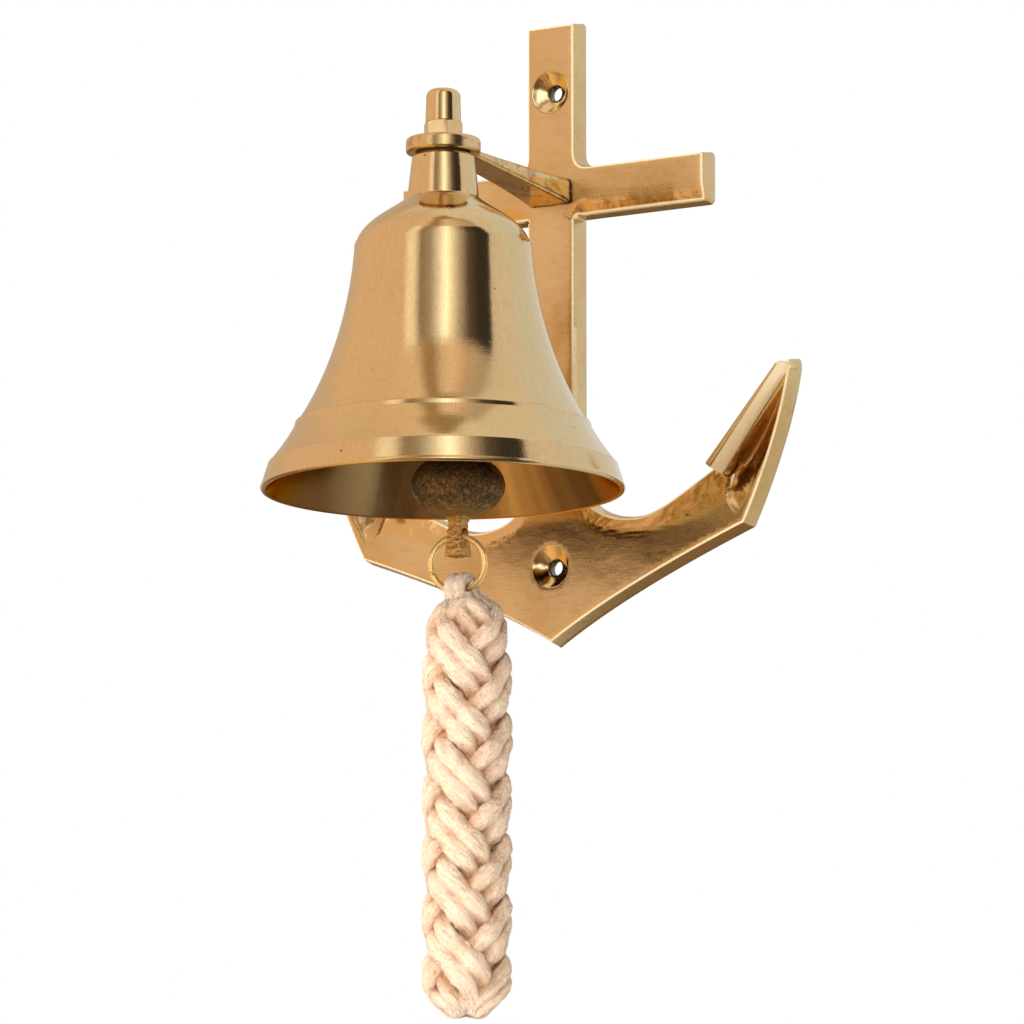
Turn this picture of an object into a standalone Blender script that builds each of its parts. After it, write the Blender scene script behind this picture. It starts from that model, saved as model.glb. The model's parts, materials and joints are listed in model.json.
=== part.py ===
"""Ship bell: cast brass bell on an anchor-shaped wall bracket, with clapper, wire ring and braided lanyard.

Lengths are metres, +Z is up, -Y points out into the room and +Y into the wall.
The origin is on the wall face of the anchor, on its centre line, midway between its two screw holes.
Bell parts are drawn as (radius, height) profiles with the height counted from the plane of the mouth.
"""

import math

import bmesh
import bpy
from mathutils import Matrix, Vector

MM = 0.001

# Anchor: heights marked "from crown" are counted up from the crown's tip.
CROWN_Z = -90.0 * MM
PLATE_THICKNESS = 6.0 * MM
CASTING_DRAFT = 0.9 * MM
SHANK_HALF_WIDTH = 7.65 * MM
SHANK_TOP = 177.8 * MM
STOCK_TOP = 135.6 * MM
STOCK_BOTTOM = 122.2 * MM
STOCK_HALF_LENGTH = 50.5 * MM
STOCK_FILLET = 4.5 * MM
STOCK_BEVEL_RISE = 5.0 * MM
STOCK_BEVEL_DEPTH = 1.2 * MM
SCREW_HOLE_HEIGHTS = (158.6 * MM, 21.5 * MM)
SCREW_HOLE_RADIUS = 2.4 * MM
COUNTERSINK_RADIUS = 6.0 * MM
PALM_HEIGHT = 6.0 * MM
PALM_THICKNESS = 1.6 * MM
PALM_BASE_THICKNESS = 4.2 * MM
PALM_ROOT_DEPTH = 1.5 * MM
SCOOP_DEPTH = 3.6 * MM

# Arm that carries the bell out from the stock.
GAP = 0.2 * MM
ARM_TOP_Z = 43.2 * MM
ARM_CORNER = 1.0 * MM
CASTING_PIT_RADII = (0.9 * MM, 2.2 * MM, 0.8 * MM)
CASTING_PIT_PLACE = (0.6 * MM, -21.0 * MM, 37.5 * MM)
RING_EYE_RADIUS = 10.45 * MM
RING_EYE_TOP_Z = 45.0 * MM
RING_EYE_THICKNESS = 4.0 * MM
RING_EYE_ROUNDING = 1.0 * MM
STUD_BORE = 3.3 * MM

# Bell.
BELL_Y = -62.0 * MM
MOUTH_Z = -54.7 * MM
MOUTH_RADIUS = 50.8 * MM
NECK_TOP = 94.8 * MM
CROWN_CEILING = 76.0 * MM
BELL_SEGMENTS = 48

# Fasteners on the bell axis.
WASHER_THICKNESS = 0.5 * MM
NUT_ACROSS_FLATS = 10.0 * MM
DOME_HEX_HEIGHT = 5.2 * MM
DOME_NUT_HEIGHT = 14.0 * MM
DOME_RADIUS = 5.0 * MM
DOME_NUT_TURN = math.radians(12.0)
LOCK_NUT_HEIGHT = 5.0 * MM
STUD_RADIUS = 3.0 * MM
STUD_RISE = 7.3 * MM
STUD_BOTTOM = 67.0 * MM
CROWN_WASHER_RADIUS = 7.6 * MM
LOCK_WASHER_RADIUS = 7.0 * MM
LOCK_WASHER_THICKNESS = 1.0 * MM

# Screw that draws the arm onto the anchor from behind.
ARM_SCREW_Z = 39.9 * MM
ARM_SCREW_RADIUS = 2.0 * MM
ARM_SCREW_HEAD_RADIUS = 4.0 * MM
ARM_SCREW_LENGTH = 13.0 * MM
SCREW_SLOT_WIDTH = 1.0 * MM
SCREW_SLOT_DEPTH = 1.0 * MM

# Hanging parts, all on a vertical axis beside the bell's own.
CLAPPER_X = 5.0 * MM
HOOK_WIRE = 1.75 * MM
HOOK_BOWL = 5.0 * MM
HOOK_BOWL_HEIGHT = 62.0 * MM
LINK_WIRE = 1.1 * MM
LINK_BEND = 3.2 * MM
LINK_STRAIGHT = 5.0 * MM
EYE_RADIUS = 4.2 * MM
EYE_HOLE = 1.8 * MM
EYE_THICKNESS = 3.0 * MM
BALL_RADIUS = 13.1 * MM
BALL_HALF_HEIGHT = 8.9 * MM
BALL_HEIGHT = 1.0 * MM
TAIL_BOTTOM = -18.9 * MM
TAIL_HOLE = 2.0 * MM
TAIL_HOLE_HEIGHT = -12.95 * MM
RING_BEND = 7.65 * MM
RING_WIRE = 0.85 * MM
RING_HEIGHT = -20.9 * MM
LANYARD_X = 6.5 * MM
LANYARD_RADIUS = 12.2 * MM
LANYARD_TOP = -34.0 * MM
LANYARD_BOTTOM = -147.0 * MM
LANYARD_EYE_BEND = 3.7 * MM
LANYARD_EYE_CORD = 2.4 * MM
CORE_RADIUS = 3.4 * MM
CORE_BORE = 3.8 * MM

# Heights that follow from the sizes above.
HOOK_PIVOT = HOOK_BOWL_HEIGHT - HOOK_BOWL
LINK_PIVOT = HOOK_PIVOT - LINK_STRAIGHT - LINK_BEND
RING_PIVOT = RING_HEIGHT + RING_BEND
RING_LOW_WIRE = RING_HEIGHT - RING_BEND


def clear_scene():
    for found in list(bpy.data.objects):
        bpy.data.objects.remove(found, do_unlink=True)


def make_material(name, colour, roughness, metallic):
    material = bpy.data.materials.new(name)
    material.use_nodes = True
    shader = material.node_tree.nodes["Principled BSDF"]
    shader.inputs["Base Color"].default_value = (*colour, 1.0)
    shader.inputs["Roughness"].default_value = roughness
    shader.inputs["Metallic"].default_value = metallic
    material.diffuse_color = (*colour, 1.0)
    return material


def make_materials():
    return {
        "polished_brass": make_material("polished_brass", (0.70, 0.42, 0.17), 0.18, 1.0),
        "brushed_brass": make_material("brushed_brass", (0.68, 0.41, 0.17), 0.32, 1.0),
        "cast_bronze": make_material("cast_bronze", (0.16, 0.10, 0.05), 0.62, 0.8),
        "wire_brass": make_material("wire_brass", (0.78, 0.52, 0.20), 0.22, 1.0),
        "fibre": make_material("fibre", (0.06, 0.04, 0.03), 0.80, 0.0),
        "cotton_cord": make_material("cotton_cord", (0.86, 0.68, 0.55), 0.92, 0.0),
    }


def add_empty(name, location, parent=None):
    empty = bpy.data.objects.new(name, None)
    bpy.context.scene.collection.objects.link(empty)
    empty.location = location
    empty.parent = parent
    return empty


def add_object(name, mesh, material, parent=None, location=(0.0, 0.0, 0.0)):
    added = bpy.data.objects.new(name, mesh)
    bpy.context.scene.collection.objects.link(added)
    added.location = location
    added.parent = parent
    if material:
        mesh.materials.append(material)
    return added


def finish_mesh(name, bm, sharp_degrees=35.0):
    bmesh.ops.recalc_face_normals(bm, faces=bm.faces)
    mesh = bpy.data.meshes.new(name)
    bm.to_mesh(mesh)
    bm.free()
    mesh.shade_smooth()
    mesh.set_sharp_from_angle(angle=math.radians(sharp_degrees))
    return mesh


def boolean(target, operation, cutter):
    """Cuts target with cutter, or joins cutter to it, and keeps cutter out of the model."""
    modifier = target.modifiers.new(cutter.name, "BOOLEAN")
    modifier.operation = operation
    modifier.solver = "EXACT"
    modifier.object = cutter
    cutter.hide_render = True
    cutter.display_type = "WIRE"


def quadratic(start, control, end, steps):
    """Points along a curve with one control point, leaving out its last point."""
    points = []
    for i in range(steps):
        t = i / steps
        weights = ((1 - t) ** 2, 2 * t * (1 - t), t * t)
        triple = (start, control, end)
        points.append(tuple(sum(w * p[k] for w, p in zip(weights, triple)) for k in (0, 1)))
    return points


def cubic(start, control_a, control_b, end, steps):
    """Points along a curve with two control points, leaving out its last point."""
    points = []
    for i in range(steps):
        t = i / steps
        u = 1 - t
        weights = (u**3, 3 * t * u * u, 3 * t * t * u, t**3)
        four = (start, control_a, control_b, end)
        points.append(tuple(sum(w * p[k] for w, p in zip(weights, four)) for k in (0, 1)))
    return points


def arc(centre, radius, start_degrees, end_degrees, steps):
    """Points round an arc, both ends included."""
    points = []
    for i in range(steps + 1):
        angle = math.radians(start_degrees + (end_degrees - start_degrees) * i / steps)
        points.append((centre[0] + radius * math.cos(angle), centre[1] + radius * math.sin(angle)))
    return points


def in_mm(points):
    return [(x * MM, y * MM) for x, y in points]


def lathe(name, profile, segments, closed=False):
    """Turns (radius, height) points about Z. A closed profile makes a tube; an open one meets the axis."""
    bm = bmesh.new()
    rings = []
    for radius, height in profile:
        if radius < 1e-7:
            rings.append([bm.verts.new((0.0, 0.0, height))])
            continue
        ring = []
        for i in range(segments):
            angle = math.tau * i / segments
            ring.append(bm.verts.new((radius * math.cos(angle), radius * math.sin(angle), height)))
        rings.append(ring)
    pairs = list(zip(rings, rings[1:]))
    if closed:
        pairs.append((rings[-1], rings[0]))
    for upper, lower in pairs:
        pole, rim = (upper, lower) if len(upper) == 1 else (lower, upper)
        if len(pole) == 1 and abs(pole[0].co.z - rim[0].co.z) < 1e-7:
            bm.faces.new(rim)
            bm.verts.remove(pole[0])
            continue
        for i in range(segments):
            j = (i + 1) % segments
            if len(pole) == 1:
                bm.faces.new((pole[0], rim[i], rim[j]))
            else:
                bm.faces.new((upper[i], lower[i], lower[j], upper[j]))
    return finish_mesh(name, bm)


def loft(name, sections, closed=False, sharp_degrees=35.0):
    """Skins rings of points that all have the same count, capping both ends unless closed."""
    bm = bmesh.new()
    rings = [[bm.verts.new(point) for point in section] for section in sections]
    pairs = list(zip(rings, rings[1:]))
    if closed:
        pairs.append((rings[-1], rings[0]))
    else:
        bm.faces.new(rings[0])
        bm.faces.new(rings[-1])
    count = len(rings[0])
    for near, far in pairs:
        for i in range(count):
            j = (i + 1) % count
            bm.faces.new((near[i], near[j], far[j], far[i]))
    return finish_mesh(name, bm, sharp_degrees)


def wire(name, path, radii, segments, side, closed=False):
    """Sweeps a circle along a flat path; side is the unit vector square to the path's plane."""
    sections = []
    count = len(path)
    for i, point in enumerate(path):
        before = path[i - 1] if closed or i > 0 else point
        after = path[(i + 1) % count] if closed or i < count - 1 else point
        tangent = (Vector(after) - Vector(before)).normalized()
        across = tangent.cross(Vector(side))
        ring = []
        for k in range(segments):
            angle = math.tau * k / segments
            offset = across * math.cos(angle) + Vector(side) * math.sin(angle)
            ring.append(Vector(point) + offset * radii[i])
        sections.append(ring)
    return loft(name, sections, closed)


def box(name, size, centre):
    bm = bmesh.new()
    bmesh.ops.create_cube(bm, size=1.0, matrix=Matrix.Translation(centre) @ Matrix.Diagonal((*size, 1.0)))
    return finish_mesh(name, bm)


def ellipsoid(name, radii, centre):
    bm = bmesh.new()
    place = Matrix.Translation(centre) @ Matrix.Diagonal((*radii, 1.0))
    bmesh.ops.create_uvsphere(bm, u_segments=16, v_segments=8, radius=1.0, matrix=place)
    return finish_mesh(name, bm)


def facing_room(cutter):
    """Turns an object drawn along +Z so that it points out into the room."""
    cutter.rotation_euler = (math.pi / 2, 0.0, 0.0)


# ---------------------------------------------------------------- anchor

# Corners of one arm in millimetres: out from the centre line, and up from the crown's tip.
ARM_LOW_EDGE = (26.0, 33.5)
ARM_PALM_FOOT = (53.5, 46.0)
ARM_TIP = (79.0, 75.0)
ARM_BILL = (63.5, 28.8)
PALM_FOOT = (53.4, 45.8)
PALM_TIP = (78.6, 73.6)


def inner_edge():
    """The arm's upper edge, from the shank out to the palm's foot."""
    edge = cubic((SHANK_HALF_WIDTH / MM, 48.0), (8.6, 38.5), (16.0, 33.5), ARM_LOW_EDGE, 8)
    edge += cubic(ARM_LOW_EDGE, (33.5, 33.5), (42.0, 39.5), ARM_PALM_FOOT, 7)
    return edge


def right_outline():
    """Half of the anchor's front outline, from the top of the shank round to the crown's tip."""
    half = SHANK_HALF_WIDTH / MM
    top, bottom = STOCK_TOP / MM, STOCK_BOTTOM / MM
    fillet = STOCK_FILLET / MM
    length = STOCK_HALF_LENGTH / MM
    points = [(half, SHANK_TOP / MM)]
    points += arc((half + fillet, top + fillet), fillet, 180.0, 270.0, 5)
    points += [(length, top), (length, bottom), (half, bottom)]
    points += inner_edge()
    points += [ARM_PALM_FOOT]
    points += quadratic(ARM_TIP, (76.2, 54.0), ARM_BILL, 7)
    points += quadratic(ARM_BILL, (21.8, 13.6), (0.0, 0.0), 9)
    return [(x * MM, z * MM + CROWN_Z) for x, z in points]


def anchor_outline():
    right = right_outline()
    left = [(-x, z) for x, z in reversed(right)]
    return right + [(0.0, CROWN_Z)] + left


def grown(outline, distance):
    """Moves every point of a closed outline square to its two edges."""
    result = []
    count = len(outline)
    for i, point in enumerate(outline):
        before = Vector(outline[i - 1])
        here = Vector(point)
        after = Vector(outline[(i + 1) % count])
        into = (here - before).normalized()
        out = (after - here).normalized()
        normal = Vector((-into.y, into.x)) + Vector((-out.y, out.x))
        normal.normalize()
        reach = distance / max(normal.dot(Vector((-into.y, into.x))), 0.5)
        result.append(tuple(here + normal * reach))
    return result


def ridge_cutter(side):
    """Wedge that slopes the face down to the shank's lower edge and on along the arm's upper edge."""
    # Each row is the ridge on the front face, the edge it slopes to, and the slope's depth there.
    rows = (
        ((7.60, 104.0), (7.65, 104.0), 0.05),
        ((6.70, 75.0), (7.65, 75.0), 0.7),
        ((5.00, 50.0), (7.65, 50.0), 1.5),
        ((7.00, 38.5), (9.90, 40.8), 2.0),
        ((15.30, 30.2), (17.20, 35.6), 2.4),
        ((27.80, 28.0), (27.80, 33.6), 2.7),
        ((37.50, 29.0), (36.50, 36.3), 2.9),
        ((47.00, 31.3), (46.00, 41.8), 3.0),
        ((56.70, 34.5), (52.50, 45.5), 3.0),
        ((61.00, 36.5), (58.00, 50.0), 2.0),
    )
    front = -PLATE_THICKNESS
    above = 8.0 * MM
    sections = []
    for ridge, edge, depth in rows:
        rx, rz = side * ridge[0] * MM, ridge[1] * MM + CROWN_Z
        ex, ez = side * edge[0] * MM, edge[1] * MM + CROWN_Z
        across = Vector((ex - rx, ez - rz))
        reach = 1.0 + 6.0 * MM / max(across.length, 0.3 * MM)
        fx, fz = rx + across.x * reach, rz + across.y * reach
        drop = depth * MM * reach
        low = ((rx, front, rz), (fx, front + drop, fz))
        high = ((fx, front - above, fz), (rx, front - above, rz))
        sections.append(low + high)
    return loft("ridge_cutter", sections)


def palm_mesh(side):
    """The palm: a wall standing forward of the arm's end, thinner at its crest than at its foot."""
    foot, tip = Vector(PALM_FOOT), Vector(PALM_TIP)
    along = (tip - foot).normalized()
    outward = Vector((along.y, -along.x))
    front = -PLATE_THICKNESS
    crest = front - PALM_HEIGHT
    bevel = 0.5
    # Each layer is a level, a thickness, and how far the foot and the tip are cut back there.
    layers = (
        (front + PALM_ROOT_DEPTH, PALM_BASE_THICKNESS / MM, 0.0, 0.0),
        (crest + bevel * MM, PALM_THICKNESS / MM + 0.3, 0.6, 3.2),
        (crest, PALM_THICKNESS / MM - 0.3, 1.2, 4.2),
    )
    sections = []
    for y, thickness, foot_cut, tip_cut in layers:
        a = foot + along * foot_cut
        b = tip - along * tip_cut
        ring = (a, a + outward * thickness, b + outward * thickness * 0.35, b)
        sections.append([(side * p.x * MM, y, p.y * MM + CROWN_Z) for p in ring])
    return loft("palm", sections)


def scoop_cutter(side):
    """Boat-shaped hollow between the palm and the arm's outer rim, deep at the palm's foot."""
    stations = 12
    ring_points = 12
    palm_top, palm_foot = Vector((77.4, 66.5)), Vector((55.9, 42.6))
    rim = [Vector(p) for p in quadratic((77.6, 68.0), (74.6, 50.0), (61.8, 31.8), stations)]
    rim.append(Vector((61.8, 31.8)))
    sections = []
    for i in range(1, stations + 1):
        s = i / stations
        left = palm_top.lerp(palm_foot, s)
        right = rim[i]
        centre = (left + right) / 2
        half = (right - left) / 2
        roundness = math.sqrt(max(1.0 - max(0.0, (s - 0.72) / 0.29) ** 2, 0.0))
        depth = SCOOP_DEPTH * math.sin(min(1.0, s * 1.25) * math.pi / 2) * roundness
        ring = []
        for k in range(ring_points):
            angle = math.tau * k / ring_points
            spot = centre + half * (math.cos(angle) * max(roundness, 0.25))
            lift = -PLATE_THICKNESS + depth * math.sin(angle)
            ring.append((side * spot.x * MM, lift, spot.y * MM + CROWN_Z))
        sections.append(ring)
    return loft("scoop_cutter", sections)


def stock_bevel_cutter():
    """Prism along the stock's lower front edge."""
    low = STOCK_BOTTOM + CROWN_Z
    front = -PLATE_THICKNESS
    rise = STOCK_BEVEL_RISE
    reach = 1.4
    sections = []
    for side in (-1.0, 1.0):
        x = side * (STOCK_HALF_LENGTH + 5.0 * MM)
        sections.append(
            (
                (x, front, low + rise),
                (x, front + STOCK_BEVEL_DEPTH * reach, low - rise * (reach - 1.0)),
                (x, front - 3.0 * MM, low - rise * (reach - 1.0)),
                (x, front - 3.0 * MM, low + rise),
            )
        )
    return loft("stock_bevel", sections)


def screw_hole_cutter():
    """Countersunk hole drawn from the wall face out into the room."""
    cone = COUNTERSINK_RADIUS - SCREW_HOLE_RADIUS
    beyond = 1.0 * MM
    profile = [
        (0.0, PLATE_THICKNESS + beyond),
        (COUNTERSINK_RADIUS + beyond, PLATE_THICKNESS + beyond),
        (SCREW_HOLE_RADIUS, PLATE_THICKNESS - cone),
        (SCREW_HOLE_RADIUS, -beyond),
        (0.0, -beyond),
    ]
    return lathe("screw_hole", profile, 32)


def arm_screw_hole_cutter():
    """Clearance for the arm's screw, with its countersink at the wall face."""
    clearance = 0.3 * MM
    shank = ARM_SCREW_RADIUS + clearance
    head = ARM_SCREW_HEAD_RADIUS + clearance
    profile = [
        (0.0, ARM_SCREW_LENGTH + 0.5 * MM),
        (shank, ARM_SCREW_LENGTH + 0.5 * MM),
        (shank, head - shank),
        (head + 1.0 * MM, -1.0 * MM),
        (0.0, -1.0 * MM),
    ]
    return lathe("arm_screw_hole", profile, 24)


def build_anchor_plate(materials, parent):
    front_outline = anchor_outline()
    back_outline = grown(front_outline, CASTING_DRAFT)
    sections = (
        [(x, -PLATE_THICKNESS, z) for x, z in front_outline],
        [(x, 0.0, z) for x, z in back_outline],
    )
    plate = add_object("anchor_plate", loft("anchor_plate", sections), materials["brushed_brass"], parent)
    bevel = add_object("stock_bevel_cutter", stock_bevel_cutter(), None, parent)
    boolean(plate, "DIFFERENCE", bevel)
    for side, word in ((1.0, "right"), (-1.0, "left")):
        ridge = add_object(f"{word}_ridge_cutter", ridge_cutter(side), None, parent)
        boolean(plate, "DIFFERENCE", ridge)
        palm = add_object(f"{word}_palm_form", palm_mesh(side), None, parent)
        boolean(plate, "UNION", palm)
        scoop = add_object(f"{word}_scoop_cutter", scoop_cutter(side), None, parent)
        boolean(plate, "DIFFERENCE", scoop)
    for i, height in enumerate(SCREW_HOLE_HEIGHTS):
        place = (0.0, 0.0, CROWN_Z + height)
        hole = add_object(f"wall_screw_cutter_{i}", screw_hole_cutter(), None, parent, place)
        facing_room(hole)
        boolean(plate, "DIFFERENCE", hole)
    place = (0.0, 0.0, ARM_SCREW_Z)
    hole = add_object("plate_screw_cutter", arm_screw_hole_cutter(), None, parent, place)
    facing_room(hole)
    boolean(plate, "DIFFERENCE", hole)
    return plate


# ---------------------------------------------------------------- arm and its screw


def rounded_section(half_width, low, high, y):
    """A rectangle with rounded corners, square to Y."""
    corner = ARM_CORNER
    corners = (
        ((half_width - corner, high - corner), 0.0),
        ((-half_width + corner, high - corner), 90.0),
        ((-half_width + corner, low + corner), 180.0),
        ((half_width - corner, low + corner), 270.0),
    )
    ring = []
    for centre, start in corners:
        ring += [(x, y, z) for x, z in arc(centre, corner, start, start + 90.0, 3)]
    return ring


def build_bracket_arm(materials, parent):
    # Distance from the wall, half width and underside height, from the root to inside the ring eye.
    stations = ((6.2, 7.0, 35.4), (9.0, 6.6, 35.9), (18.0, 5.9, 37.3), (36.0, 5.2, 39.4), (52.0, 4.9, 41.1))
    sections = [rounded_section(w * MM, low * MM, ARM_TOP_Z, -out * MM) for out, w, low in stations]
    arm = add_object("bracket_arm", loft("bracket_arm", sections), materials["polished_brass"], parent)
    radius = RING_EYE_RADIUS
    top = RING_EYE_TOP_Z
    bottom = top - RING_EYE_THICKNESS
    rounding = RING_EYE_ROUNDING
    profile = [(0.0, top)]
    profile += list(reversed(arc((radius - rounding, top - rounding), rounding, 0.0, 90.0, 4)))
    lower = rounding / 2
    profile += list(reversed(arc((radius - lower, bottom + lower), lower, 270.0, 360.0, 2)))
    profile += [(0.0, bottom)]
    place = (0.0, BELL_Y, 0.0)
    eye = add_object("ring_eye_form", lathe("ring_eye", profile, 48), None, parent, place)
    boolean(arm, "UNION", eye)
    bore_profile = [(0.0, top + MM), (STUD_BORE, top + MM), (STUD_BORE, bottom - MM), (0.0, bottom - MM)]
    bore = add_object("ring_eye_bore", lathe("ring_eye_bore", bore_profile, 24), None, parent, place)
    boolean(arm, "DIFFERENCE", bore)
    hole = add_object("arm_screw_cutter", arm_screw_hole_cutter(), None, parent, (0.0, 0.0, ARM_SCREW_Z))
    facing_room(hole)
    boolean(arm, "DIFFERENCE", hole)
    pit_mesh = ellipsoid("casting_pit", CASTING_PIT_RADII, CASTING_PIT_PLACE)
    pit = add_object("casting_pit_cutter", pit_mesh, None, parent)
    boolean(arm, "DIFFERENCE", pit)
    return arm


def build_arm_screw(materials, parent):
    head, shank = ARM_SCREW_HEAD_RADIUS, ARM_SCREW_RADIUS
    chamfer = 0.5 * MM
    profile = [
        (0.0, ARM_SCREW_LENGTH),
        (shank - chamfer, ARM_SCREW_LENGTH),
        (shank, ARM_SCREW_LENGTH - chamfer),
        (shank, head - shank + GAP),
        (head, GAP),
        (0.0, GAP),
    ]
    place = (0.0, 0.0, ARM_SCREW_Z)
    screw = add_object("arm_screw", lathe("arm_screw", profile, 24), materials["wire_brass"], parent, place)
    facing_room(screw)
    slot_size = (3 * head, SCREW_SLOT_DEPTH * 2, SCREW_SLOT_WIDTH)
    slot_mesh = box("screw_slot", slot_size, (0.0, 0.0, ARM_SCREW_Z))
    slot = add_object("screw_slot_cutter", slot_mesh, None, parent)
    boolean(screw, "DIFFERENCE", slot)
    return screw


# ---------------------------------------------------------------- bell and its fasteners


def bell_profile():
    """Outline of the bell's wall: down the outside, round the rim, up the inside and along the bore."""
    neck_top = NECK_TOP / MM
    ceiling = CROWN_CEILING / MM
    bore = STUD_BORE / MM
    mouth = MOUTH_RADIUS / MM
    crease = (24.3, 70.2)
    points = [(8.1, neck_top), (8.4, neck_top - 0.4), (9.9, 84.4)]
    points += cubic((10.6, 82.9), (14.6, 79.0), (22.2, 76.0), crease, 5)
    points += cubic((24.7, 69.6), (26.2, 47.0), (33.9, 28.9), (40.4, 19.2), 7)
    points += [(40.4, 19.2), (41.1, 18.9), (41.3, 17.8)]
    points += quadratic((41.2, 17.6), (44.0, 12.6), (47.9, 7.9), 3)
    points += [(47.9, 7.9), (48.4, 7.2), (50.3, 1.8), (mouth, 0.6), (mouth - 0.4, 0.0), (49.2, 0.2)]
    points += cubic((48.6, 1.2), (41.5, 11.5), (27.5, 30.0), (22.4, 66.0), 7)
    points += quadratic((22.4, 66.0), (21.4, 75.0), (13.0, ceiling), 3)
    points += [(13.0, ceiling), (bore, ceiling), (bore, neck_top)]
    return in_mm(points)


def build_bell_body(materials, parent):
    mesh = lathe("bell_body", bell_profile(), BELL_SEGMENTS, closed=True)
    return add_object("bell_body", mesh, materials["polished_brass"], parent)


def flat_washer(name, inner, outer, bottom, thickness):
    profile = [(inner, bottom), (inner, bottom + thickness), (outer, bottom + thickness), (outer, bottom)]
    return lathe(name, list(reversed(profile)), 32, closed=True)


def build_crown_washer(materials, parent):
    mesh = flat_washer("crown_washer", STUD_BORE, CROWN_WASHER_RADIUS, NECK_TOP + GAP, WASHER_THICKNESS)
    return add_object("crown_washer", mesh, materials["fibre"], parent)


def build_lock_washer(materials, parent):
    bottom = CROWN_CEILING - GAP - LOCK_WASHER_THICKNESS
    mesh = flat_washer("lock_washer", STUD_BORE, LOCK_WASHER_RADIUS, bottom, LOCK_WASHER_THICKNESS)
    return add_object("lock_washer", mesh, materials["brushed_brass"], parent)


def hex_prism(name, bottom, top, turn):
    corner = NUT_ACROSS_FLATS / math.sqrt(3)
    sections = []
    for height in (bottom, top):
        ring = []
        for i in range(6):
            angle = turn + math.tau * i / 6
            ring.append((corner * math.cos(angle), corner * math.sin(angle), height))
        sections.append(ring)
    return loft(name, sections)


def corner_trim(name, bottom, top):
    """Turned blank whose bevels take the sharp corners off a hexagon."""
    corner = NUT_ACROSS_FLATS / math.sqrt(3)
    flat = NUT_ACROSS_FLATS / 2
    drop = (corner - flat) * 0.6
    profile = [(0.0, top), (flat, top), (corner, top - drop)]
    profile += [(corner, bottom + drop), (flat, bottom), (0.0, bottom)]
    return lathe(name, profile, 36)


def build_dome_nut(materials, parent):
    bottom = RING_EYE_TOP_Z + GAP - MOUTH_Z
    hex_top = bottom + DOME_HEX_HEIGHT
    top = bottom + DOME_NUT_HEIGHT
    mesh = hex_prism("dome_nut", bottom, hex_top, DOME_NUT_TURN)
    nut = add_object("dome_nut", mesh, materials["polished_brass"], parent)
    trim = add_object("dome_nut_trim", corner_trim("dome_nut_trim", bottom, hex_top), None, parent)
    boolean(nut, "INTERSECT", trim)
    rounding = 2.2 * MM
    radius_top = DOME_RADIUS - 0.35 * MM
    profile = [(0.0, top)]
    centre = (radius_top - rounding, top - rounding - 0.4 * MM)
    profile += list(reversed(arc(centre, rounding, 0.0, 80.0, 5)))
    profile += [(DOME_RADIUS - 0.05 * MM, hex_top - 0.5 * MM), (0.0, hex_top - 0.5 * MM)]
    dome = add_object("dome_form", lathe("dome_form", profile, 36), None, parent)
    boolean(nut, "UNION", dome)
    bore_profile = [
        (0.0, top - 5.5 * MM),
        (STUD_BORE, top - 4.6 * MM - STUD_BORE / 2),
        (STUD_BORE, bottom - MM),
        (0.0, bottom - MM),
    ]
    bore = add_object("dome_nut_bore", lathe("dome_nut_bore", bore_profile, 24), None, parent)
    boolean(nut, "DIFFERENCE", bore)
    return nut


def build_lock_nut(materials, parent):
    top = CROWN_CEILING - 2 * GAP - LOCK_WASHER_THICKNESS
    bottom = top - LOCK_NUT_HEIGHT
    mesh = hex_prism("lock_nut", bottom, top, 0.0)
    nut = add_object("lock_nut", mesh, materials["brushed_brass"], parent)
    trim = add_object("lock_nut_trim", corner_trim("lock_nut_trim", bottom, top), None, parent)
    boolean(nut, "INTERSECT", trim)
    bore_profile = [(0.0, top + MM), (STUD_BORE, top + MM), (STUD_BORE, bottom - MM), (0.0, bottom - MM)]
    bore = add_object("lock_nut_bore", lathe("lock_nut_bore", bore_profile, 24), None, parent)
    boolean(nut, "DIFFERENCE", bore)
    return nut


def build_hanger_hook(materials, parent):
    """Threaded stud through the ring eye and the bell's neck, drawn down to a wire hook inside the bell."""
    stud_top = RING_EYE_TOP_Z - MOUTH_Z + STUD_RISE
    chamfer = 0.5 * MM
    heights = ((stud_top, STUD_RADIUS - chamfer), (stud_top - chamfer, STUD_RADIUS))
    heights += ((STUD_BOTTOM + chamfer, STUD_RADIUS), (STUD_BOTTOM, STUD_RADIUS - chamfer))
    heights += ((STUD_BOTTOM - chamfer, HOOK_WIRE),)
    path = [(0.0, 0.0, height) for height, radius in heights]
    radii = [radius for height, radius in heights]
    for x, z in arc((HOOK_BOWL, HOOK_BOWL_HEIGHT), HOOK_BOWL, 180.0, 360.0, 14):
        path.append((x, 0.0, z))
        radii.append(HOOK_WIRE)
    tip = (2 * HOOK_BOWL, 0.0, HOOK_BOWL_HEIGHT + 2.4 * MM)
    path.append(tip)
    radii.append(HOOK_WIRE)
    path.append((tip[0], 0.0, tip[2] + 0.6 * MM))
    radii.append(HOOK_WIRE - 0.6 * MM)
    mesh = wire("hanger_hook", path, radii, 16, (0.0, 1.0, 0.0))
    return add_object("hanger_hook", mesh, materials["wire_brass"], parent)


# ---------------------------------------------------------------- hanging parts


def build_clapper_link(materials, parent):
    """Oval wire link, drawn from the hook's wire, with its plane square to X."""
    path = [(0.0, y, z) for y, z in arc((0.0, 0.0), LINK_BEND, 0.0, 180.0, 9)]
    path += [(0.0, y, z) for y, z in arc((0.0, -LINK_STRAIGHT), LINK_BEND, 180.0, 360.0, 9)]
    mesh = wire("clapper_link", path, [LINK_WIRE] * len(path), 10, (1.0, 0.0, 0.0), closed=True)
    return add_object("clapper_link", mesh, materials["wire_brass"], parent)


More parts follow.
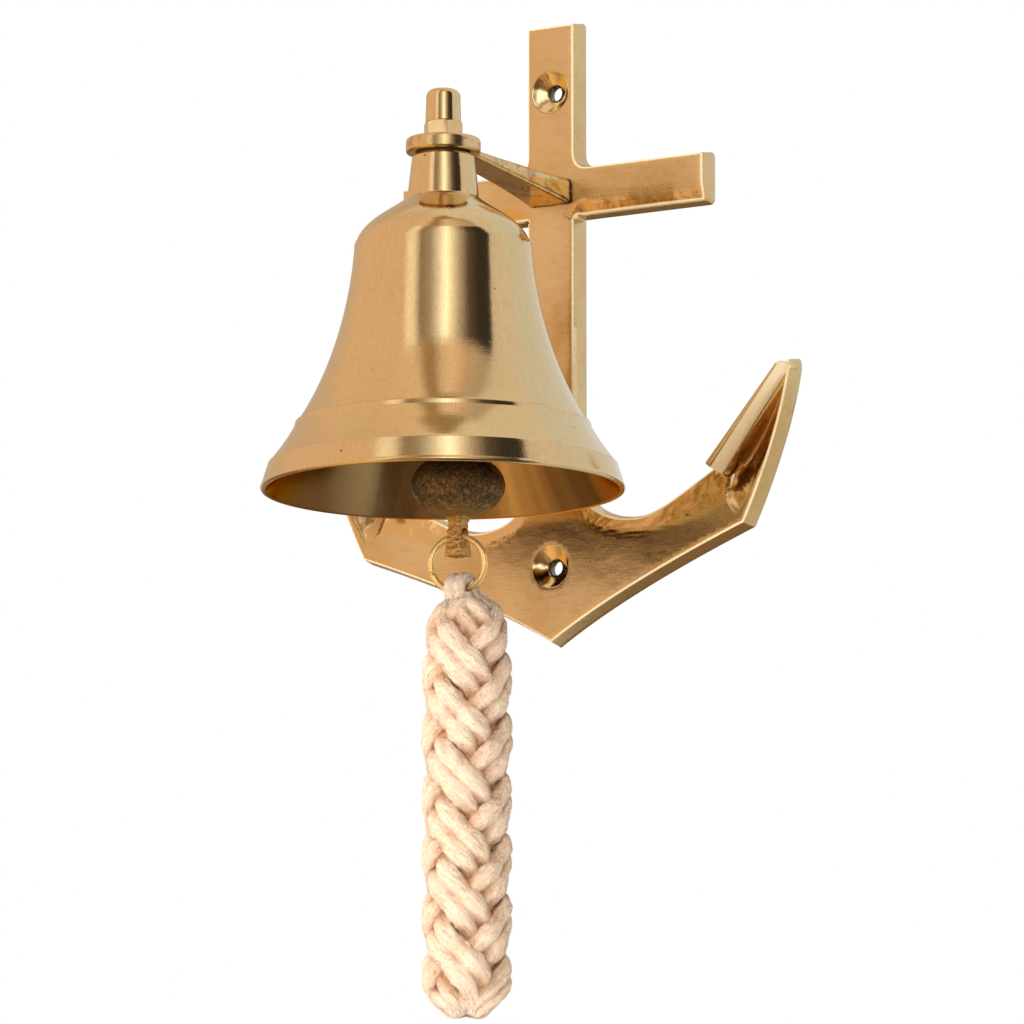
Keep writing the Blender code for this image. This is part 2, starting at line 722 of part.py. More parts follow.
def build_clapper(materials, parent):
    """One casting: flat eye, tapered shank, oblate ball, square tail. Drawn from the pivot in its eye."""
    ball_centre = BALL_HEIGHT - LINK_PIVOT
    profile = [(0.0, -1.0 * MM), (2.0 * MM, -2.6 * MM), (2.1 * MM, -6.0 * MM), (2.9 * MM, -34.0 * MM)]
    steps = 12
    for i in range(2, steps):
        angle = math.pi / 2 - math.pi * i / steps
        profile.append((BALL_RADIUS * math.cos(angle), ball_centre + BALL_HALF_HEIGHT * math.sin(angle)))
    profile.append((0.0, ball_centre - BALL_HALF_HEIGHT))
    clapper = add_object("clapper", lathe("clapper", profile, 32), materials["cast_bronze"], parent)
    half = EYE_THICKNESS / 2
    eye_profile = [(0.0, half), (EYE_RADIUS - 0.4 * MM, half), (EYE_RADIUS, half - 0.4 * MM)]
    eye_profile += [(radius, -height) for radius, height in reversed(eye_profile)]
    eye = add_object("clapper_eye_form", lathe("clapper_eye", eye_profile, 24), None, parent)
    facing_room(eye)
    boolean(clapper, "UNION", eye)
    hole_profile = [(0.0, 4.0 * MM), (EYE_HOLE, 4.0 * MM), (EYE_HOLE, -4.0 * MM), (0.0, -4.0 * MM)]
    hole = add_object("clapper_eye_cutter", lathe("clapper_eye_hole", hole_profile, 20), None, parent)
    facing_room(hole)
    boolean(clapper, "DIFFERENCE", hole)
    # Height from the mouth and half widths across X and Y, from inside the ball to the tail's end.
    rows = ((-5.5, 2.6, 2.4), (-9.5, 2.2, 2.1), (-13.0, 2.5, 2.3), (-17.4, 3.1, 2.6))
    rows += ((TAIL_BOTTOM / MM, 2.9, 2.4),)
    sections = []
    for height, half_x, half_y in rows:
        z = height * MM - LINK_PIVOT
        x, y = half_x * MM, half_y * MM
        cut = 0.5 * MM
        ring = ((x, y - cut, z), (x - cut, y, z), (cut - x, y, z), (-x, y - cut, z))
        sections.append(ring + tuple((-px, -py, pz) for px, py, pz in ring))
    tail = add_object("clapper_tail_form", loft("clapper_tail", sections), None, parent)
    boolean(clapper, "UNION", tail)
    hole_profile = [(0.0, 5.0 * MM), (TAIL_HOLE, 5.0 * MM), (TAIL_HOLE, -5.0 * MM), (0.0, -5.0 * MM)]
    place = (0.0, 0.0, TAIL_HOLE_HEIGHT - LINK_PIVOT)
    hole = add_object("clapper_tail_cutter", lathe("tail_hole", hole_profile, 20), None, parent, place)
    hole.rotation_euler = (0.0, math.pi / 2, 0.0)
    boolean(clapper, "DIFFERENCE", hole)
    return clapper


def build_lanyard_ring(materials, parent):
    """Wire ring, drawn from the top of its wire where it bears in the tail's hole."""
    steps = 36
    path = [(x, 0.0, z) for x, z in arc((0.0, -RING_BEND), RING_BEND, 0.0, 360.0, steps)[:-1]]
    mesh = wire("lanyard_ring", path, [RING_WIRE] * steps, 10, (0.0, 1.0, 0.0), closed=True)
    return add_object("lanyard_ring", mesh, materials["wire_brass"], parent)


def build_lanyard(materials, parent):
    """Plain body of the cord, with an eye round the ring's lowest wire, drawn from the ring's centre."""
    top = LANYARD_TOP - RING_HEIGHT
    bottom = LANYARD_BOTTOM - RING_HEIGHT
    radius = LANYARD_RADIUS
    profile = [(0.0, top), (4.0 * MM, top - 0.6 * MM)]
    profile += [(8.6 * MM, top - 3.4 * MM), (11.4 * MM, top - 7.6 * MM)]
    profile += [(radius, top - 13.0 * MM), (radius, bottom + 9.0 * MM)]
    profile += [(11.0 * MM, bottom + 3.6 * MM), (7.4 * MM, bottom), (0.0, bottom)]
    offset = LANYARD_X - CLAPPER_X
    place = (offset, 0.0, 0.0)
    cotton = materials["cotton_cord"]
    braid = add_object("lanyard_braid", lathe("lanyard_braid", profile, 32), cotton, parent, place)
    centre = RING_LOW_WIRE - RING_HEIGHT
    path = [(-offset, y, z) for y, z in arc((0.0, centre), LANYARD_EYE_BEND, 0.0, 360.0, 20)[:-1]]
    cord = [LANYARD_EYE_CORD] * len(path)
    loop_mesh = wire("lanyard_eye", path, cord, 12, (1.0, 0.0, 0.0), closed=True)
    loop = add_object("lanyard_eye_form", loop_mesh, None, parent, place)
    boolean(braid, "UNION", loop)
    core_top = top - 20.0 * MM
    bore_profile = [(0.0, core_top), (CORE_BORE, core_top), (CORE_BORE, bottom - MM), (0.0, bottom - MM)]
    bore = add_object("lanyard_bore", lathe("lanyard_bore", bore_profile, 24), None, parent, place)
    boolean(braid, "DIFFERENCE", bore)
    end = bottom + 1.0 * MM
    core_profile = [(0.0, core_top - GAP), (CORE_RADIUS, core_top - GAP), (CORE_RADIUS, end), (0.0, end)]
    core = add_object("lanyard_core", lathe("lanyard_core", core_profile, 20), cotton, parent, place)
    return braid, core


def build_ship_bell():
    clear_scene()
    materials = make_materials()
    bracket = add_empty("bracket", (0.0, 0.0, 0.0))
    bell_frame = add_empty("bell_frame", (0.0, BELL_Y, MOUTH_Z), bracket)
    link_frame = add_empty("link_frame", (CLAPPER_X, 0.0, HOOK_PIVOT), bell_frame)
    clapper_frame = add_empty("clapper_frame", (0.0, 0.0, LINK_PIVOT - HOOK_PIVOT), link_frame)
    ring_frame = add_empty("ring_frame", (0.0, 0.0, RING_PIVOT - LINK_PIVOT), clapper_frame)
    lanyard_frame = add_empty("lanyard_frame", (0.0, 0.0, RING_HEIGHT - RING_PIVOT), ring_frame)
    build_anchor_plate(materials, bracket)
    build_bracket_arm(materials, bracket)
    build_arm_screw(materials, bracket)
    build_bell_body(materials, bell_frame)
    build_crown_washer(materials, bell_frame)
    build_dome_nut(materials, bell_frame)
    build_hanger_hook(materials, bell_frame)
    build_lock_washer(materials, bell_frame)
    build_lock_nut(materials, bell_frame)
    build_clapper_link(materials, link_frame)
    build_clapper(materials, clapper_frame)
    build_lanyard_ring(materials, ring_frame)
    build_lanyard(materials, lanyard_frame)
    bpy.context.view_layer.update()


build_ship_bell()
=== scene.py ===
"""Looks of the wall ship bell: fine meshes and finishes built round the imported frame.

Shapes are drawn in millimetres and placed from the frame's own boxes and joints. Colours are linear.
"""

import json
import math

import bmesh
import bpy
import numpy as np
from mathutils import Matrix, Vector, geometry, noise


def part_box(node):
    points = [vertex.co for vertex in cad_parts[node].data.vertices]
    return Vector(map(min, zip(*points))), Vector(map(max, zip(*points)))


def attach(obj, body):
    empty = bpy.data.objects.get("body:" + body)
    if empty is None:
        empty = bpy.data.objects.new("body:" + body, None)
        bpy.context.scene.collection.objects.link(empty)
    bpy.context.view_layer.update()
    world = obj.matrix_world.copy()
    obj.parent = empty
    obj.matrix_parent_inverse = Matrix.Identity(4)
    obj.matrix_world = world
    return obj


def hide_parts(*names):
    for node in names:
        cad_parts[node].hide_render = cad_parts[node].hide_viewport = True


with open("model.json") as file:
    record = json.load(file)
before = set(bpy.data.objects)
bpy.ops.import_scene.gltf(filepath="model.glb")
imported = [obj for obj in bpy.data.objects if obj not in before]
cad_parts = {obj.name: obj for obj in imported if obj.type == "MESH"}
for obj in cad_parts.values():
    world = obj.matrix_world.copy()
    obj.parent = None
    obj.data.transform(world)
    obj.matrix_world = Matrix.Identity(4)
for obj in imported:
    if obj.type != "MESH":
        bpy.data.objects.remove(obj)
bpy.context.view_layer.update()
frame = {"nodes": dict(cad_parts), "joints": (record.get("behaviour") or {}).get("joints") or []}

MM = 0.001

# ---------------------------------------------------------------- places read from the frame

JOINTS = {joint["name"]: joint for joint in frame["joints"]}
BELL_LOW, BELL_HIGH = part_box("bell_body")
ARM_LOW, ARM_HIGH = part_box("bracket_arm")
NUT_LOW, NUT_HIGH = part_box("dome_nut")
RING_LOW, RING_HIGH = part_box("lanyard_ring")
BRAID_LOW, BRAID_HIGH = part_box("lanyard_braid")

BELL_Y = (BELL_LOW.y + BELL_HIGH.y) / 2
MOUTH_Z = BELL_LOW.z
BELL_PLACE = Vector((0.0, BELL_Y, MOUTH_Z))
NECK_PLACE = Vector((0.0, BELL_Y, 0.0))
CLAPPER_PIVOT = Vector(JOINTS["clapper_swing"]["pos_m"])
LINK_PIVOT = Vector(JOINTS["link_swing"]["pos_m"])
RING_CENTRE = (RING_LOW + RING_HIGH) / 2
CROWN_PLACE = Vector((0.0, 0.0, -90.0 * MM))


# ---------------------------------------------------------------- curves and meshes


def clamped(value, low=0.0, high=1.0):
    return min(high, max(low, value))


def curve(controls, steps):
    """Points along a Bezier curve through its first and last controls, leaving out its last point."""
    degree = len(controls) - 1
    points = []
    for i in range(steps):
        t = i / steps
        weights = [math.comb(degree, k) * t**k * (1 - t) ** (degree - k) for k in range(degree + 1)]
        points.append(tuple(sum(w * p[axis] for w, p in zip(weights, controls)) for axis in (0, 1)))
    return points


def arc(centre, radius, start_degrees, end_degrees, steps):
    """Points round an arc, both ends included."""
    points = []
    for i in range(steps + 1):
        angle = math.radians(start_degrees + (end_degrees - start_degrees) * i / steps)
        points.append((centre[0] + radius * math.cos(angle), centre[1] + radius * math.sin(angle)))
    return points


def circle(centre, radius, count):
    return arc(centre, radius, 0.0, 360.0, count)[:-1]


def smooth_corner(before, corner, after, radius, steps):
    """Points of a round of that radius fitted into a corner."""
    before, corner, after = Vector(before), Vector(corner), Vector(after)
    into, out = (before - corner).normalized(), (after - corner).normalized()
    reach = radius / math.tan(into.angle(out) / 2)
    reach = min(reach, (before - corner).length / 2, (after - corner).length / 2)
    end = corner + out * reach
    return curve((corner + into * reach, corner, end), steps) + [tuple(end)]


def rounded(points, corners, steps=4):
    """Copy of an outline with the listed corners (index: radius) rounded."""
    result = []
    for i, point in enumerate(points):
        if i in corners:
            result += smooth_corner(points[i - 1], point, points[(i + 1) % len(points)], corners[i], steps)
        else:
            result.append(tuple(point))
    return result


def spaced(points, step, closed=False):
    """Adds points so that no segment is longer than step."""
    result = []
    chain = list(points) + ([points[0]] if closed else [])
    for a, b in zip(chain, chain[1:]):
        a, b = Vector(a), Vector(b)
        count = max(1, math.ceil((b - a).length / step))
        result += [tuple(a.lerp(b, i / count)) for i in range(count)]
    return result if closed else result + [tuple(chain[-1])]


def link_object(name, bm, place=None, sharp_degrees=40.0):
    """Makes a smooth-shaded object from millimetre geometry, at a place in metres."""
    bmesh.ops.scale(bm, vec=(MM, MM, MM), verts=bm.verts)
    if place is not None:
        bmesh.ops.translate(bm, vec=place, verts=bm.verts)
    bmesh.ops.recalc_face_normals(bm, faces=bm.faces)
    mesh = bpy.data.meshes.new(name)
    bm.to_mesh(mesh)
    bm.free()
    mesh.shade_smooth()
    mesh.set_sharp_from_angle(angle=math.radians(sharp_degrees))
    made = bpy.data.objects.new(name, mesh)
    bpy.context.scene.collection.objects.link(made)
    return made


def join_rings(bm, rings, closed=False, capped=True):
    """Faces between rings of as many vertices; an open run of rings is capped at both ends."""
    pairs = list(zip(rings, rings[1:]))
    if closed:
        pairs.append((rings[-1], rings[0]))
    elif capped:
        bm.faces.new(rings[0])
        bm.faces.new(rings[-1])
    for near, far in pairs:
        for i in range(len(near)):
            j = (i + 1) % len(near)
            bm.faces.new((near[i], near[j], far[j], far[i]))


def skin(bm, sections, closed=False, capped=True):
    """Skins sections of points that all have the same count."""
    join_rings(bm, [[bm.verts.new(point) for point in section] for section in sections], closed, capped)


def turned(name, profile, segments, place=None, sharp_degrees=40.0, closed=False):
    """An object turned about Z from (radius, height) points. A closed profile makes a tube."""
    bm = bmesh.new()
    rings = []
    for radius, height in profile:
        if radius < 1e-4:
            rings.append([bm.verts.new((0.0, 0.0, height))])
        else:
            rings.append([bm.verts.new((x, y, height)) for x, y in circle((0.0, 0.0), radius, segments)])
    for upper, lower in zip(rings, rings[1:] + rings[:1] * closed):
        pole, rim = (upper, lower) if len(upper) == 1 else (lower, upper)
        for i in range(segments):
            j = (i + 1) % segments
            if len(pole) == 1:
                bm.faces.new((pole[0], rim[i], rim[j]))
            else:
                bm.faces.new((upper[i], lower[i], lower[j], upper[j]))
    return link_object(name, bm, place, sharp_degrees)


def skinned(name, sections, place=None, closed=False):
    bm = bmesh.new()
    skin(bm, sections, closed)
    return link_object(name, bm, place)


def wire(name, path, radii, segments, side, place, closed=False):
    """An object swept along a flat path; side is the unit vector square to the path's plane."""
    sections = []
    last = len(path) - 1
    for i, point in enumerate(path):
        before = path[i - 1] if closed or i > 0 else point
        after = path[(i + 1) % (last + 1)] if closed or i < last else point
        across = (Vector(after) - Vector(before)).normalized().cross(side)
        rim = circle((0.0, 0.0), radii[i], segments)
        sections.append([Vector(point) + across * x + side * y for x, y in rim])
    return skinned(name, sections, place, closed)


def apply_modifiers(target, sharp_degrees=40.0):
    depsgraph = bpy.context.evaluated_depsgraph_get()
    mesh = bpy.data.meshes.new_from_object(target.evaluated_get(depsgraph), depsgraph=depsgraph)
    target.modifiers.clear()
    target.data = mesh
    mesh.shade_smooth()
    mesh.set_sharp_from_angle(angle=math.radians(sharp_degrees))


def use_boolean(target, cutter, operation):
    """Applies a boolean at once and removes the cutter."""
    modifier = target.modifiers.new("cut", "BOOLEAN")
    modifier.operation = operation
    modifier.solver = "EXACT"
    modifier.object = cutter
    apply_modifiers(target)
    bpy.data.objects.remove(cutter, do_unlink=True)


def flow_together(target, voxel, passes, sharp_degrees=40.0):
    """Turns joined forms into one casting with a voxel remesh and some smoothing."""
    remesh = target.modifiers.new("skin", "REMESH")
    remesh.mode = "VOXEL"
    remesh.voxel_size = voxel * MM
    smooth = target.modifiers.new("flow", "SMOOTH")
    smooth.factor = 0.5
    smooth.iterations = passes
    apply_modifiers(target, sharp_degrees)


def show(piece, material, body, slot, *nodes):
    """Dresses a new piece, puts it on its body and lets it stand for its CAD nodes."""
    piece.data.materials.clear()
    piece.data.materials.append(material)
    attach(piece, body)
    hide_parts(*nodes)


# ---------------------------------------------------------------- shader graphs


class Graph:
    """A small builder for node trees."""

    def __init__(self, owner):
        owner.use_nodes = True
        self.owner = owner
        self.tree = owner.node_tree
        self.tree.nodes.clear()

    def node(self, kind, inputs=None, **settings):
        made = self.tree.nodes.new("ShaderNode" + kind)
        for key, value in settings.items():
            setattr(made, key, value)
        for key, value in (inputs or {}).items():
            self.feed(made.inputs[key], value)
        return made

    def feed(self, socket, value):
        if isinstance(value, bpy.types.NodeSocket):
            self.tree.links.new(value, socket)
        elif isinstance(value, tuple) and len(value) == 3 and socket.type == "RGBA":
            socket.default_value = (*value, 1.0)
        else:
            socket.default_value = value

    def math(self, operation, *values):
        return self.node("Math", dict(enumerate(values)), operation=operation).outputs[0]

    def times(self, a, b):
        return self.math("MULTIPLY", a, b)

    def plus(self, *terms):
        total = terms[0]
        for term in terms[1:]:
            total = self.math("ADD", total, term)
        return total

    def larger(self, a, b):
        return self.math("MAXIMUM", a, b)

    def parts(self, vector):
        return tuple(self.node("SeparateXYZ", {"Vector": vector}).outputs)

    def joined(self, x=0.0, y=0.0, z=0.0):
        return self.node("CombineXYZ", {"X": x, "Y": y, "Z": z}).outputs[0]

    def mark(self, name, output="Fac"):
        """A value that the mesh carries at its vertices."""
        return self.node("Attribute", attribute_name=name).outputs[output]

    def scaled(self, vector, triple):
        return self.node("VectorMath", {0: vector, 1: triple}, operation="MULTIPLY").outputs[0]

    def noise(self, vector, scale, detail=3.0, roughness=0.5, distortion=0.0):
        inputs = {"Vector": vector, "Scale": scale, "Detail": detail, "Roughness": roughness}
        return self.node("TexNoise", {**inputs, "Distortion": distortion}).outputs["Fac"]

    def cells(self, vector, scale):
        return self.node("TexVoronoi", {"Vector": vector, "Scale": scale}).outputs

    def span(self, value, low, high, to_low=0.0, to_high=1.0):
        """Maps a range of values to another, clamped."""
        inputs = {"Value": value, "From Min": low, "From Max": high, "To Min": to_low, "To Max": to_high}
        return self.node("MapRange", inputs, clamp=True).outputs["Result"]

    def blend(self, factor, a, b):
        colour_inputs = {0: factor, 6: a, 7: b}
        return self.node("Mix", colour_inputs, data_type="RGBA").outputs[2]

    def tinted(self, colour, *layers):
        """colour with each (factor, tint) blended over it in turn."""
        for factor, tint in layers:
            colour = self.blend(factor, colour, tint)
        return colour

    def ramp(self, factor, stops):
        made = self.node("ValToRGB", {"Fac": factor})
        elements = made.color_ramp.elements
        while len(elements) < len(stops):
            elements.new(0.5)
        for element, (position, colour) in zip(elements, stops):
            element.position = position
            element.color = (*colour, 1.0)
        return made.outputs["Color"]

    def bumps(self, *layers):
        """Normal after each (height, depth in millimetres, strength) bump, the first one lowest."""
        normal = None
        for height, depth, *strength in layers:
            inputs = {"Height": height, "Distance": depth * MM, "Strength": strength[0] if strength else 1.0}
            if normal is not None:
                inputs["Normal"] = normal
            normal = self.node("Bump", inputs).outputs["Normal"]
        return normal

    def millimetres(self, origin=(0.0, 0.0, 0.0)):
        """Surface position in millimetres from an origin given in metres."""
        place = self.node("TexCoord").outputs["Object"]
        moved = self.node("VectorMath", {0: place, 1: tuple(origin)}, operation="SUBTRACT")
        return self.scaled(moved.outputs[0], (1.0 / MM, 1.0 / MM, 1.0 / MM))

    def finish(self, colour, roughness, normal, metallic=1.0, **extra):
        """Ends the graph in a surface with these inputs and returns the material."""
        inputs = {"Base Color": colour, "Roughness": roughness, "Metallic": metallic, "Normal": normal}
        shader = self.node("BsdfPrincipled", {**inputs, **extra})
        self.node("OutputMaterial", {"Surface": shader.outputs["BSDF"]})
        return self.owner


def new_material(name):
    return Graph(bpy.data.materials.new(name))


BRASS = (0.76, 0.60, 0.335)
BRASS_DEEP = (0.70, 0.50, 0.24)
TARNISH = (0.30, 0.19, 0.08)


def pits(g, place, scale, size, rarity):
    """1 inside a few small casting pits, 0 elsewhere."""
    cell = g.cells(place, scale)
    near = g.span(cell["Distance"], size, size * 0.4)
    pick = g.node("SeparateColor", {"Color": cell["Color"]}).outputs[0]
    return g.times(near, g.math("GREATER_THAN", pick, 1.0 - rarity))


def turned_brass():
    """Lathe-turned and buffed: fine rings round the bell's axis, slow waves from polishing, a few pits,
    streaked painted shade inside the bell that is heaviest on its left, and a warmer painted reflection tint
    inside.
    """
    g = new_material("turned_brass")
    place = g.millimetres(BELL_PLACE)
    x, y, z = g.parts(place)
    radius = g.math("SQRT", g.plus(g.math("POWER", x, 2.0), g.math("POWER", y, 2.0)))
    angle = g.math("ARCTAN2", x, y)
    rings = g.joined(radius, z, g.times(angle, 0.35))
    fine = g.noise(rings, 2.6, 4.0, 0.65)
    coarse = g.noise(rings, 0.55, 2.0, 0.5)
    wave = g.noise(place, 0.035, 1.5, 0.4)
    patch = g.noise(place, 0.06, 3.0, 0.55)
    buff = g.noise(g.scaled(place, (1.0, 1.0, 0.25)), 1.4, 3.0, 0.6)
    grain = g.noise(place, 3.4, 2.0, 0.5)
    brush = g.noise(g.scaled(place, (1.0, 1.0, 0.10)), 1.5, 4.0, 0.75, 0.3)
    mottle = g.noise(place, 0.5, 4.0, 0.7)
    slant = g.node("Mapping", {"Vector": place, "Rotation": (0.5, 0.6, 0.0)}).outputs[0]
    scratch = g.noise(g.scaled(slant, (0.12, 1.0, 1.0)), 2.2, 3.0, 0.7)
    pit = pits(g, place, 0.16, 0.075, 0.16)
    within = g.mark("within")
    # Painted shade inside the bell: streaked, and heaviest on the side to the camera's left.
    streak = g.noise(g.joined(g.times(angle, 2.2), within), 1.0, 3.0, 0.6)
    left = g.plus(g.times(x, -0.843), g.times(y, -0.537))
    painted_inner_shade = g.larger(g.span(streak, 0.38, 0.6, 0.35, 0.9), g.span(left, 0.0, 34.0, 0.0, 0.97))
    colour = g.tinted(
        g.blend(g.span(patch, 0.35, 0.7), BRASS, (0.75, 0.575, 0.31)),
        (g.span(coarse, 0.45, 0.8, 0.0, 0.05), TARNISH),
        (g.span(brush, 0.30, 0.70, -0.20, 0.42), (0.58, 0.41, 0.20)),
        (g.span(mottle, 0.35, 0.70, -0.10, 0.22), (0.60, 0.42, 0.20)),
        (g.times(within, painted_inner_shade), (0.17, 0.088, 0.030)),
        (g.times(pit, 0.85), TARNISH),
    )
    buffed = g.plus(g.span(patch, 0.3, 0.7, 0.045, 0.095), g.span(scratch, 0.45, 0.8, 0.0, 0.10))
    roughness = g.plus(buffed, g.times(within, 0.12), g.times(pit, 0.4))
    normal = g.bumps((wave, 0.9, 0.35), (fine, 0.005), (coarse, 0.012), (scratch, 0.010), (buff, 0.006),
                     (grain, 0.002), (pit, -0.15))
    # Painted reflection: reflections inside the bell are tinted a warmer orange.
    edge = g.blend(within, (1.0, 1.0, 1.0), (0.85, 0.52, 0.22))
    return g.finish(colour, roughness, normal, **{"Specular Tint": edge})


def brushed_brass(name="brushed_brass", lay=(0.10, 1.0, 1.0), rough=0.24, stain=0.0, seam=None):
    """Linished casting: short scratches along one lay, satin patches, dark pits, painted highlights on the
    front edges and palms, and painted shade in the hollows.
    """
    g = new_material(name)
    place = g.millimetres()
    fine = g.noise(g.scaled(place, lay), 3.2, 4.0, 0.65)
    sweep = g.noise(g.scaled(place, tuple(0.25 + 0.75 * v for v in lay)), 0.5, 3.0, 0.55, 0.6)
    patch = g.noise(place, 0.05, 3.0, 0.5)
    wave = g.noise(place, 0.09, 2.0, 0.45)
    speck = g.noise(place, 2.2, 2.0, 0.6)
    swell = g.noise(place, 0.13, 2.0, 0.4, 0.5)
    pit = g.larger(pits(g, place, 0.22, 0.10, 0.12), pits(g, place, 0.7, 0.09, 0.05))
    painted_highlight, bowl, slope, hollow = (g.mark(name) for name in ("painted_highlight", "bowl", "slope", "hollow"))
    colour = g.tinted(
        g.blend(g.span(patch, 0.35, 0.7), BRASS, BRASS_DEEP),
        (g.span(sweep, 0.5, 0.85, 0.0, 0.22), TARNISH),
        (g.span(speck, 0.62, 0.8, 0.0, 0.25), TARNISH),
        (g.times(slope, 0.75), (0.74, 0.50, 0.21)),
        # Painted shade in the flukes' hollows, darker where they are deeper.
        (g.span(hollow, 0.25, 0.95, 0.0, 0.85), (0.36, 0.20, 0.08)),
        (g.times(bowl, 0.8), (0.90, 0.76, 0.47)),
        # Near-black painted shade on the screw holes' walls.
        (g.span(hollow, 1.1, 1.5, 0.0, 0.95), (0.05, 0.028, 0.012)),
        # Painted highlight: front edges and palm faces lighter and less metallic.
        (g.times(painted_highlight, 0.9), (0.83, 0.70, 0.46)),
        (g.times(pit, 0.9), TARNISH),
    )
    if stain:
        blot = g.noise(place, 0.24, 4.0, 0.6, 0.4)
        colour = g.blend(g.span(blot, 0.52, 0.62, 0.0, stain), colour, (0.42, 0.23, 0.09))
    # Painted shade: a ragged near-black band on the arm next to the plate, from seam - 0.9 mm towards the
    # plate.
    if seam is not None:
        ragged = g.plus(g.parts(place)[1], g.span(g.noise(place, 0.8, 3.0, 0.6), 0.3, 0.7, -0.5, 0.5))
        colour = g.blend(g.span(ragged, seam - 0.9, seam + 0.2, 0.0, 0.9), colour, (0.07, 0.035, 0.015))
    shine = g.larger(g.larger(bowl, slope), g.span(hollow, 0.0, 0.4))
    satin = g.plus(g.span(patch, 0.3, 0.7, rough - 0.04, rough + 0.06), g.span(fine, 0.3, 0.7, -0.03, 0.06))
    satin = g.times(satin, g.span(shine, 0.0, 1.0, 1.0, 0.42))
    roughness = g.plus(satin, g.times(painted_highlight, 0.2), g.times(pit, 0.3))
    ripple = g.times(swell, g.span(shine, 0.0, 1.0, 0.15, 1.0))
    normal = g.bumps((wave, 0.25, 0.6), (ripple, 0.8), (fine, 0.02), (sweep, 0.03), (pit, -0.2))
    return g.finish(colour, roughness, normal, g.span(painted_highlight, 0.0, 1.0, 1.0, 0.35))


def wire_brass():
    """Drawn wire: smooth and yellow with faint draw marks."""
    g = new_material("wire_brass")
    place = g.millimetres()
    marks = g.noise(place, 1.8, 4.0, 0.6)
    patch = g.noise(place, 0.25, 2.0, 0.5)
    colour = g.blend(g.span(patch, 0.35, 0.7), (0.97, 0.72, 0.30), (0.90, 0.62, 0.22))
    colour = g.blend(g.span(marks, 0.6, 0.85, 0.0, 0.35), colour, TARNISH)
    return g.finish(colour, g.span(marks, 0.3, 0.75, 0.18, 0.30), g.bumps((marks, 0.02)), 0.78)


def cast_bronze():
    """Sand-cast skin with a dark brown patina, rubbed golden on its grains and on the tail."""
    g = new_material("cast_bronze")
    place = g.millimetres(BELL_PLACE)
    grain = g.noise(place, 0.85, 5.0, 0.72)
    clump = g.noise(place, 0.22, 3.0, 0.6)
    crumbs = g.cells(place, 0.8)["Distance"]
    tail = g.span(g.parts(place)[2], -5.0, -9.5)
    high = g.times(g.span(grain, 0.47, 0.60), g.span(clump, 0.35, 0.60, 0.15, 1.0))
    high = g.larger(high, g.times(tail, g.span(grain, 0.38, 0.5, 0.68, 1.0)))
    dark = g.blend(g.span(clump, 0.35, 0.65), (0.045, 0.026, 0.010), (0.12, 0.072, 0.028))
    colour = g.blend(g.times(high, g.span(tail, 0.0, 1.0, 0.50, 1.0)), dark, (0.92, 0.64, 0.27))
    roughness = g.span(high, 0.0, 1.0, 0.50, 0.30)
    return g.finish(colour, roughness, g.bumps((grain, 0.5), (crumbs, 0.2)), g.span(high, 0.0, 0.6, 0.7, 1.0))


# Near-black finish for the thin washer between the bell's neck and the arm's eye; it makes the dark line
# there.
def near_black_washer():
    g = new_material("near_black_washer")
    washer_streaks = g.noise(g.scaled(g.millimetres(), (1.0, 1.0, 6.0)), 3.0, 4.0, 0.7)
    colour = g.blend(g.span(washer_streaks, 0.3, 0.7), (0.020, 0.014, 0.010), (0.085, 0.055, 0.035))
    return g.finish(colour, g.span(washer_streaks, 0.3, 0.7, 0.75, 0.95), g.bumps((washer_streaks, 0.08)), 0.0)


def cotton():
    """Soft-laid cotton: fine fibres along each strand, pinkish-brown painted shade in the crevices, a few
    dark flecks.
    """
    g = new_material("cotton_cord")
    place = g.millimetres()
    along = g.mark("lay", "Vector")
    fibres = g.noise(g.scaled(along, (0.30, 1.0, 1.0)), 1.2, 4.0, 0.65, 0.6)
    yarns = g.noise(g.scaled(along, (0.10, 1.0, 1.0)), 0.5, 2.0, 0.5)
    tuft = g.cells(g.scaled(along, (0.7, 1.4, 1.0)), 0.9)["Distance"]
    fluff = g.noise(place, 1.3, 5.0, 0.75, 0.5)
    patch = g.noise(place, 0.14, 3.0, 0.55)
    colour = g.tinted(
        g.blend(g.span(patch, 0.35, 0.65), (0.98, 0.81, 0.625), (0.97, 0.74, 0.55)),
        (g.span(fibres, 0.48, 0.68, 0.0, 0.40), (0.74, 0.46, 0.28)),
        (g.span(fluff, 0.50, 0.64, 0.0, 0.55), (0.74, 0.47, 0.30)),
        # Painted shade in the braid's crevices, stronger the deeper the point lies.
        (g.span(g.mark("depth"), 0.07, 0.55, 0.0, 0.95), (0.60, 0.32, 0.17)),
        (g.times(pits(g, place, 0.35, 0.07, 0.10), 0.5), (0.35, 0.30, 0.20)),
    )
    normal = g.bumps((yarns, 1.2), (fibres, 0.8), (tuft, 0.5), (fluff, 1.1))
    return g.finish(colour, 0.95, normal, 0.0, **{"Sheen Weight": 0.05, "Sheen Roughness": 0.5})


# ---------------------------------------------------------------- bell

INNER_WALL = ((49.1, 0.3), (41.5, 11.5), (27.5, 30.0), (22.4, 66.0))
INNER_STEPS = 60


